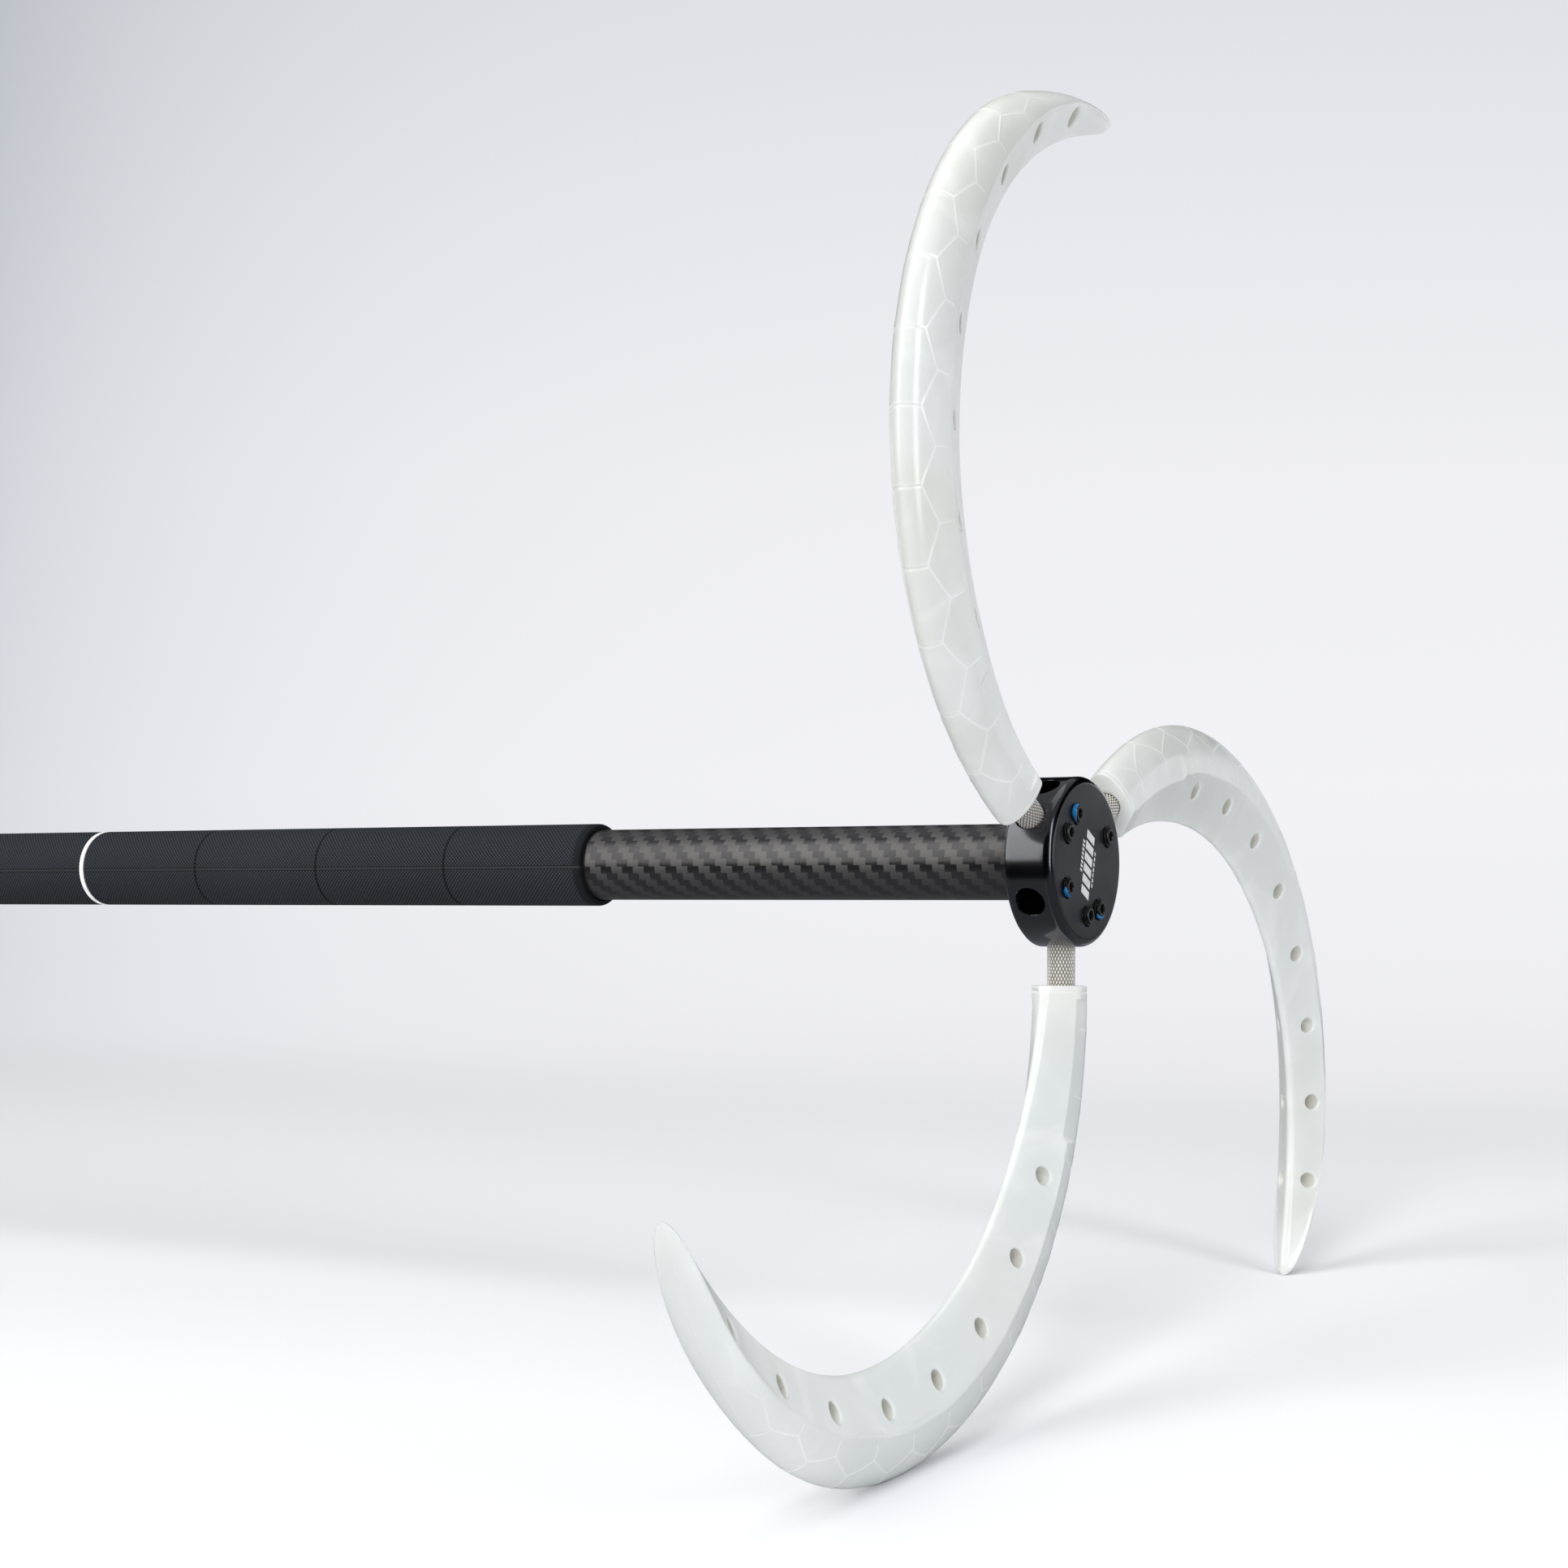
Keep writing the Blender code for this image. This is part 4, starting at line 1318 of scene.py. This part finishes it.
def stage_material():
    """White paper: a lit floor near the staff that runs into a glowing backdrop with painted light and
    shade, dimmer at the left.

    Reflections see grey paper, and a dark room away from it, which keeps the hub black.
    """
    s = Shading("studio_paper")
    across, up, _ = s.split(s.position("Window"))
    ramp = s.node("ValToRGB", {0: up})
    stops = ramp.color_ramp.elements
    for index, (place, tone) in enumerate(BACKDROP):
        stop = stops[index] if index < 2 else stops.new(place)
        stop.position = place
        stop.color = colour(tone)
    # Painted shade: the backdrop dims towards the top left
    fall = s.math("POWER", 0.0016, across)
    high = s.remap(up, 0.14, 0.40, 0.0, 1.0, smooth=True)
    dim = s.mul(fall, s.mul(high, s.add(0.10, s.mul(up, 0.22))))
    shade = [s.sub(1.0, s.mul(dim, part)) for part in (1.0, 0.9, 0.86)]
    shades = s.node("CombineColor", dict(enumerate(shade))).outputs[0]
    tint = s.node("Mix", {0: 1.0, 6: ramp.outputs[0], 7: shades}, data_type="RGBA", blend_type="MULTIPLY")

    x, y, z = s.split(s.position())
    beyond = s.math("MAXIMUM", s.sub(s.size(x), FACE_X), 0.0)
    away = s.math("SQRT", s.add(s.math("POWER", beyond, 2.0), s.mul(y, y)))
    lit = s.node("BsdfDiffuse", {"Color": colour("f9fafd"), "Roughness": 0.3})
    backdrop = s.node("Emission", {"Color": tint.outputs[2]})
    far = s.remap(away, 0.30, 0.70, 0.0, 1.0, smooth=True)
    seen = s.node("MixShader", {0: far, 1: lit.outputs[0], 2: backdrop.outputs[0]})

    near = s.mul(s.math("LESS_THAN", away, PAPER_REACH), s.math("GREATER_THAN", y, PAPER_FRONT))
    pale = s.blend(s.node("LightPath").outputs["Is Glossy Ray"], colour("f4f5f8"), colour("85868c"))
    bounce = s.node("BsdfDiffuse", {"Color": s.blend(near, colour("0d0d0e"), pale)})
    glow = s.mul(s.math("GREATER_THAN", y, WALL_START),
                  s.remap(z, WALL_GLOW_TOP - 0.5, WALL_GLOW_TOP, 1.0, 0.0, smooth=True))
    wall = s.node("Emission", {"Color": colour("eff0f5"), "Strength": glow})
    unseen = s.node("AddShader", {0: bounce.outputs[0], 1: wall.outputs[0]})
    camera_ray = s.node("LightPath").outputs["Is Camera Ray"]
    either = s.node("MixShader", {0: camera_ray, 1: unseen.outputs[0], 2: seen.outputs[0]})
    s.tree.links.new(either.outputs[0], s.node("OutputMaterial").inputs[0])
    # The wall is wide, so sampling it as a lamp would only add noise
    s.material.cycles.emission_sampling = "NONE"
    return s.material


def make_camera():
    data = bpy.data.cameras.new("studio_camera")
    data.lens = CAMERA_LENS
    data.sensor_width = 36.0
    camera = placed("studio_camera", data)
    az, el, roll = CAMERA_AZIMUTH, CAMERA_ELEVATION, CAMERA_ROLL
    back = Vector((math.sin(az) * math.cos(el), -math.cos(az) * math.cos(el), math.sin(el)))
    right = Vector((math.cos(az), math.sin(az), 0))
    up = back.cross(right)
    tilted_right = right * math.cos(roll) + up * math.sin(roll)
    tilted_up = up * math.cos(roll) - right * math.sin(roll)
    turn = Matrix((tilted_right, tilted_up, back)).transposed().to_4x4()
    camera.matrix_world = Matrix.Translation(CAMERA_PLACE) @ turn
    bpy.context.scene.camera = camera


def area_light(name, place, target, width, height, power, tint=(1, 1, 1)):
    data = bpy.data.lights.new(name, "AREA")
    data.shape = "RECTANGLE"
    data.size, data.size_y = width, height
    data.energy = power
    data.color = tint
    light = placed(name, data)
    turn = (target - place).to_track_quat("-Z", "Y").to_matrix().to_4x4()
    light.matrix_world = Matrix.Translation(place) @ turn
    return light


def make_lights():
    """A soft box at the left, a tall one in front that reflections miss, a right strip, a weak top."""
    world = bpy.data.worlds.new("studio_air")
    bpy.context.scene.world = world
    world.use_nodes = True
    air = world.node_tree.nodes["Background"].inputs
    air["Color"].default_value = (0.93, 0.95, 1.0, 1)
    air["Strength"].default_value = 0.3
    hub = Vector((FACE_X, 0, 0))
    left = hub + Vector((-0.513, -0.66, 0.55)) * 1.9
    middle = hub + Vector((0.24, -0.94, 0.50)) * 1.8
    right = hub + Vector((0.92, -0.36, 0.25)) * 2.1
    above = hub + Vector((0.1, 0.4, 2.4))
    area_light("key_left", left, hub, 1.1, 2.1, 22, (1.0, 0.99, 0.97))
    front = area_light("front_fill", middle, hub, 0.75, 2.9, 25)
    front.visible_glossy = False
    area_light("right_window", right, hub, 0.5, 2.3, 20, (0.96, 0.98, 1.0))
    area_light("top_fill", above, hub + Vector((0, 0.2, 0)), 1.8, 1.8, 9)


def main():
    anodised, print_white, lock = anodised_material(), print_material(), thread_lock_material()
    milky = claw_material("milky_polymer_fine", colour("eaecea"), colour("e4e5df"), colour("e2e7e6"))
    # Painted shade: the hole walls take darker, warmer tones of the same polymer
    hole_shade = claw_material("milky_polymer_hollow", colour("dad9d0"), colour("d0cec4"), colour("d4d5ce"))

    make_tube(carbon_material())
    make_grips(grip_material())
    make_rings(ring_material())
    stub = stub_object(STUB_REACH - SOCKET_FLOOR - GAP, steel_material())
    claw = claw_object([milky, hole_shade])
    screw = screw_object(oxide_material())
    for side, sign in SIDES:
        make_hub(side, sign, anodised)
        make_print(side, sign, print_white)
        make_screws(side, sign, lock, screw)
        make_claws(side, sign, claw, stub)
    for master in (stub, claw, screw):
        bpy.data.objects.remove(master, do_unlink=True)
    make_stage()
    make_lights()
    make_camera()
    bpy.context.scene.view_settings.view_transform = "Standard"


main()
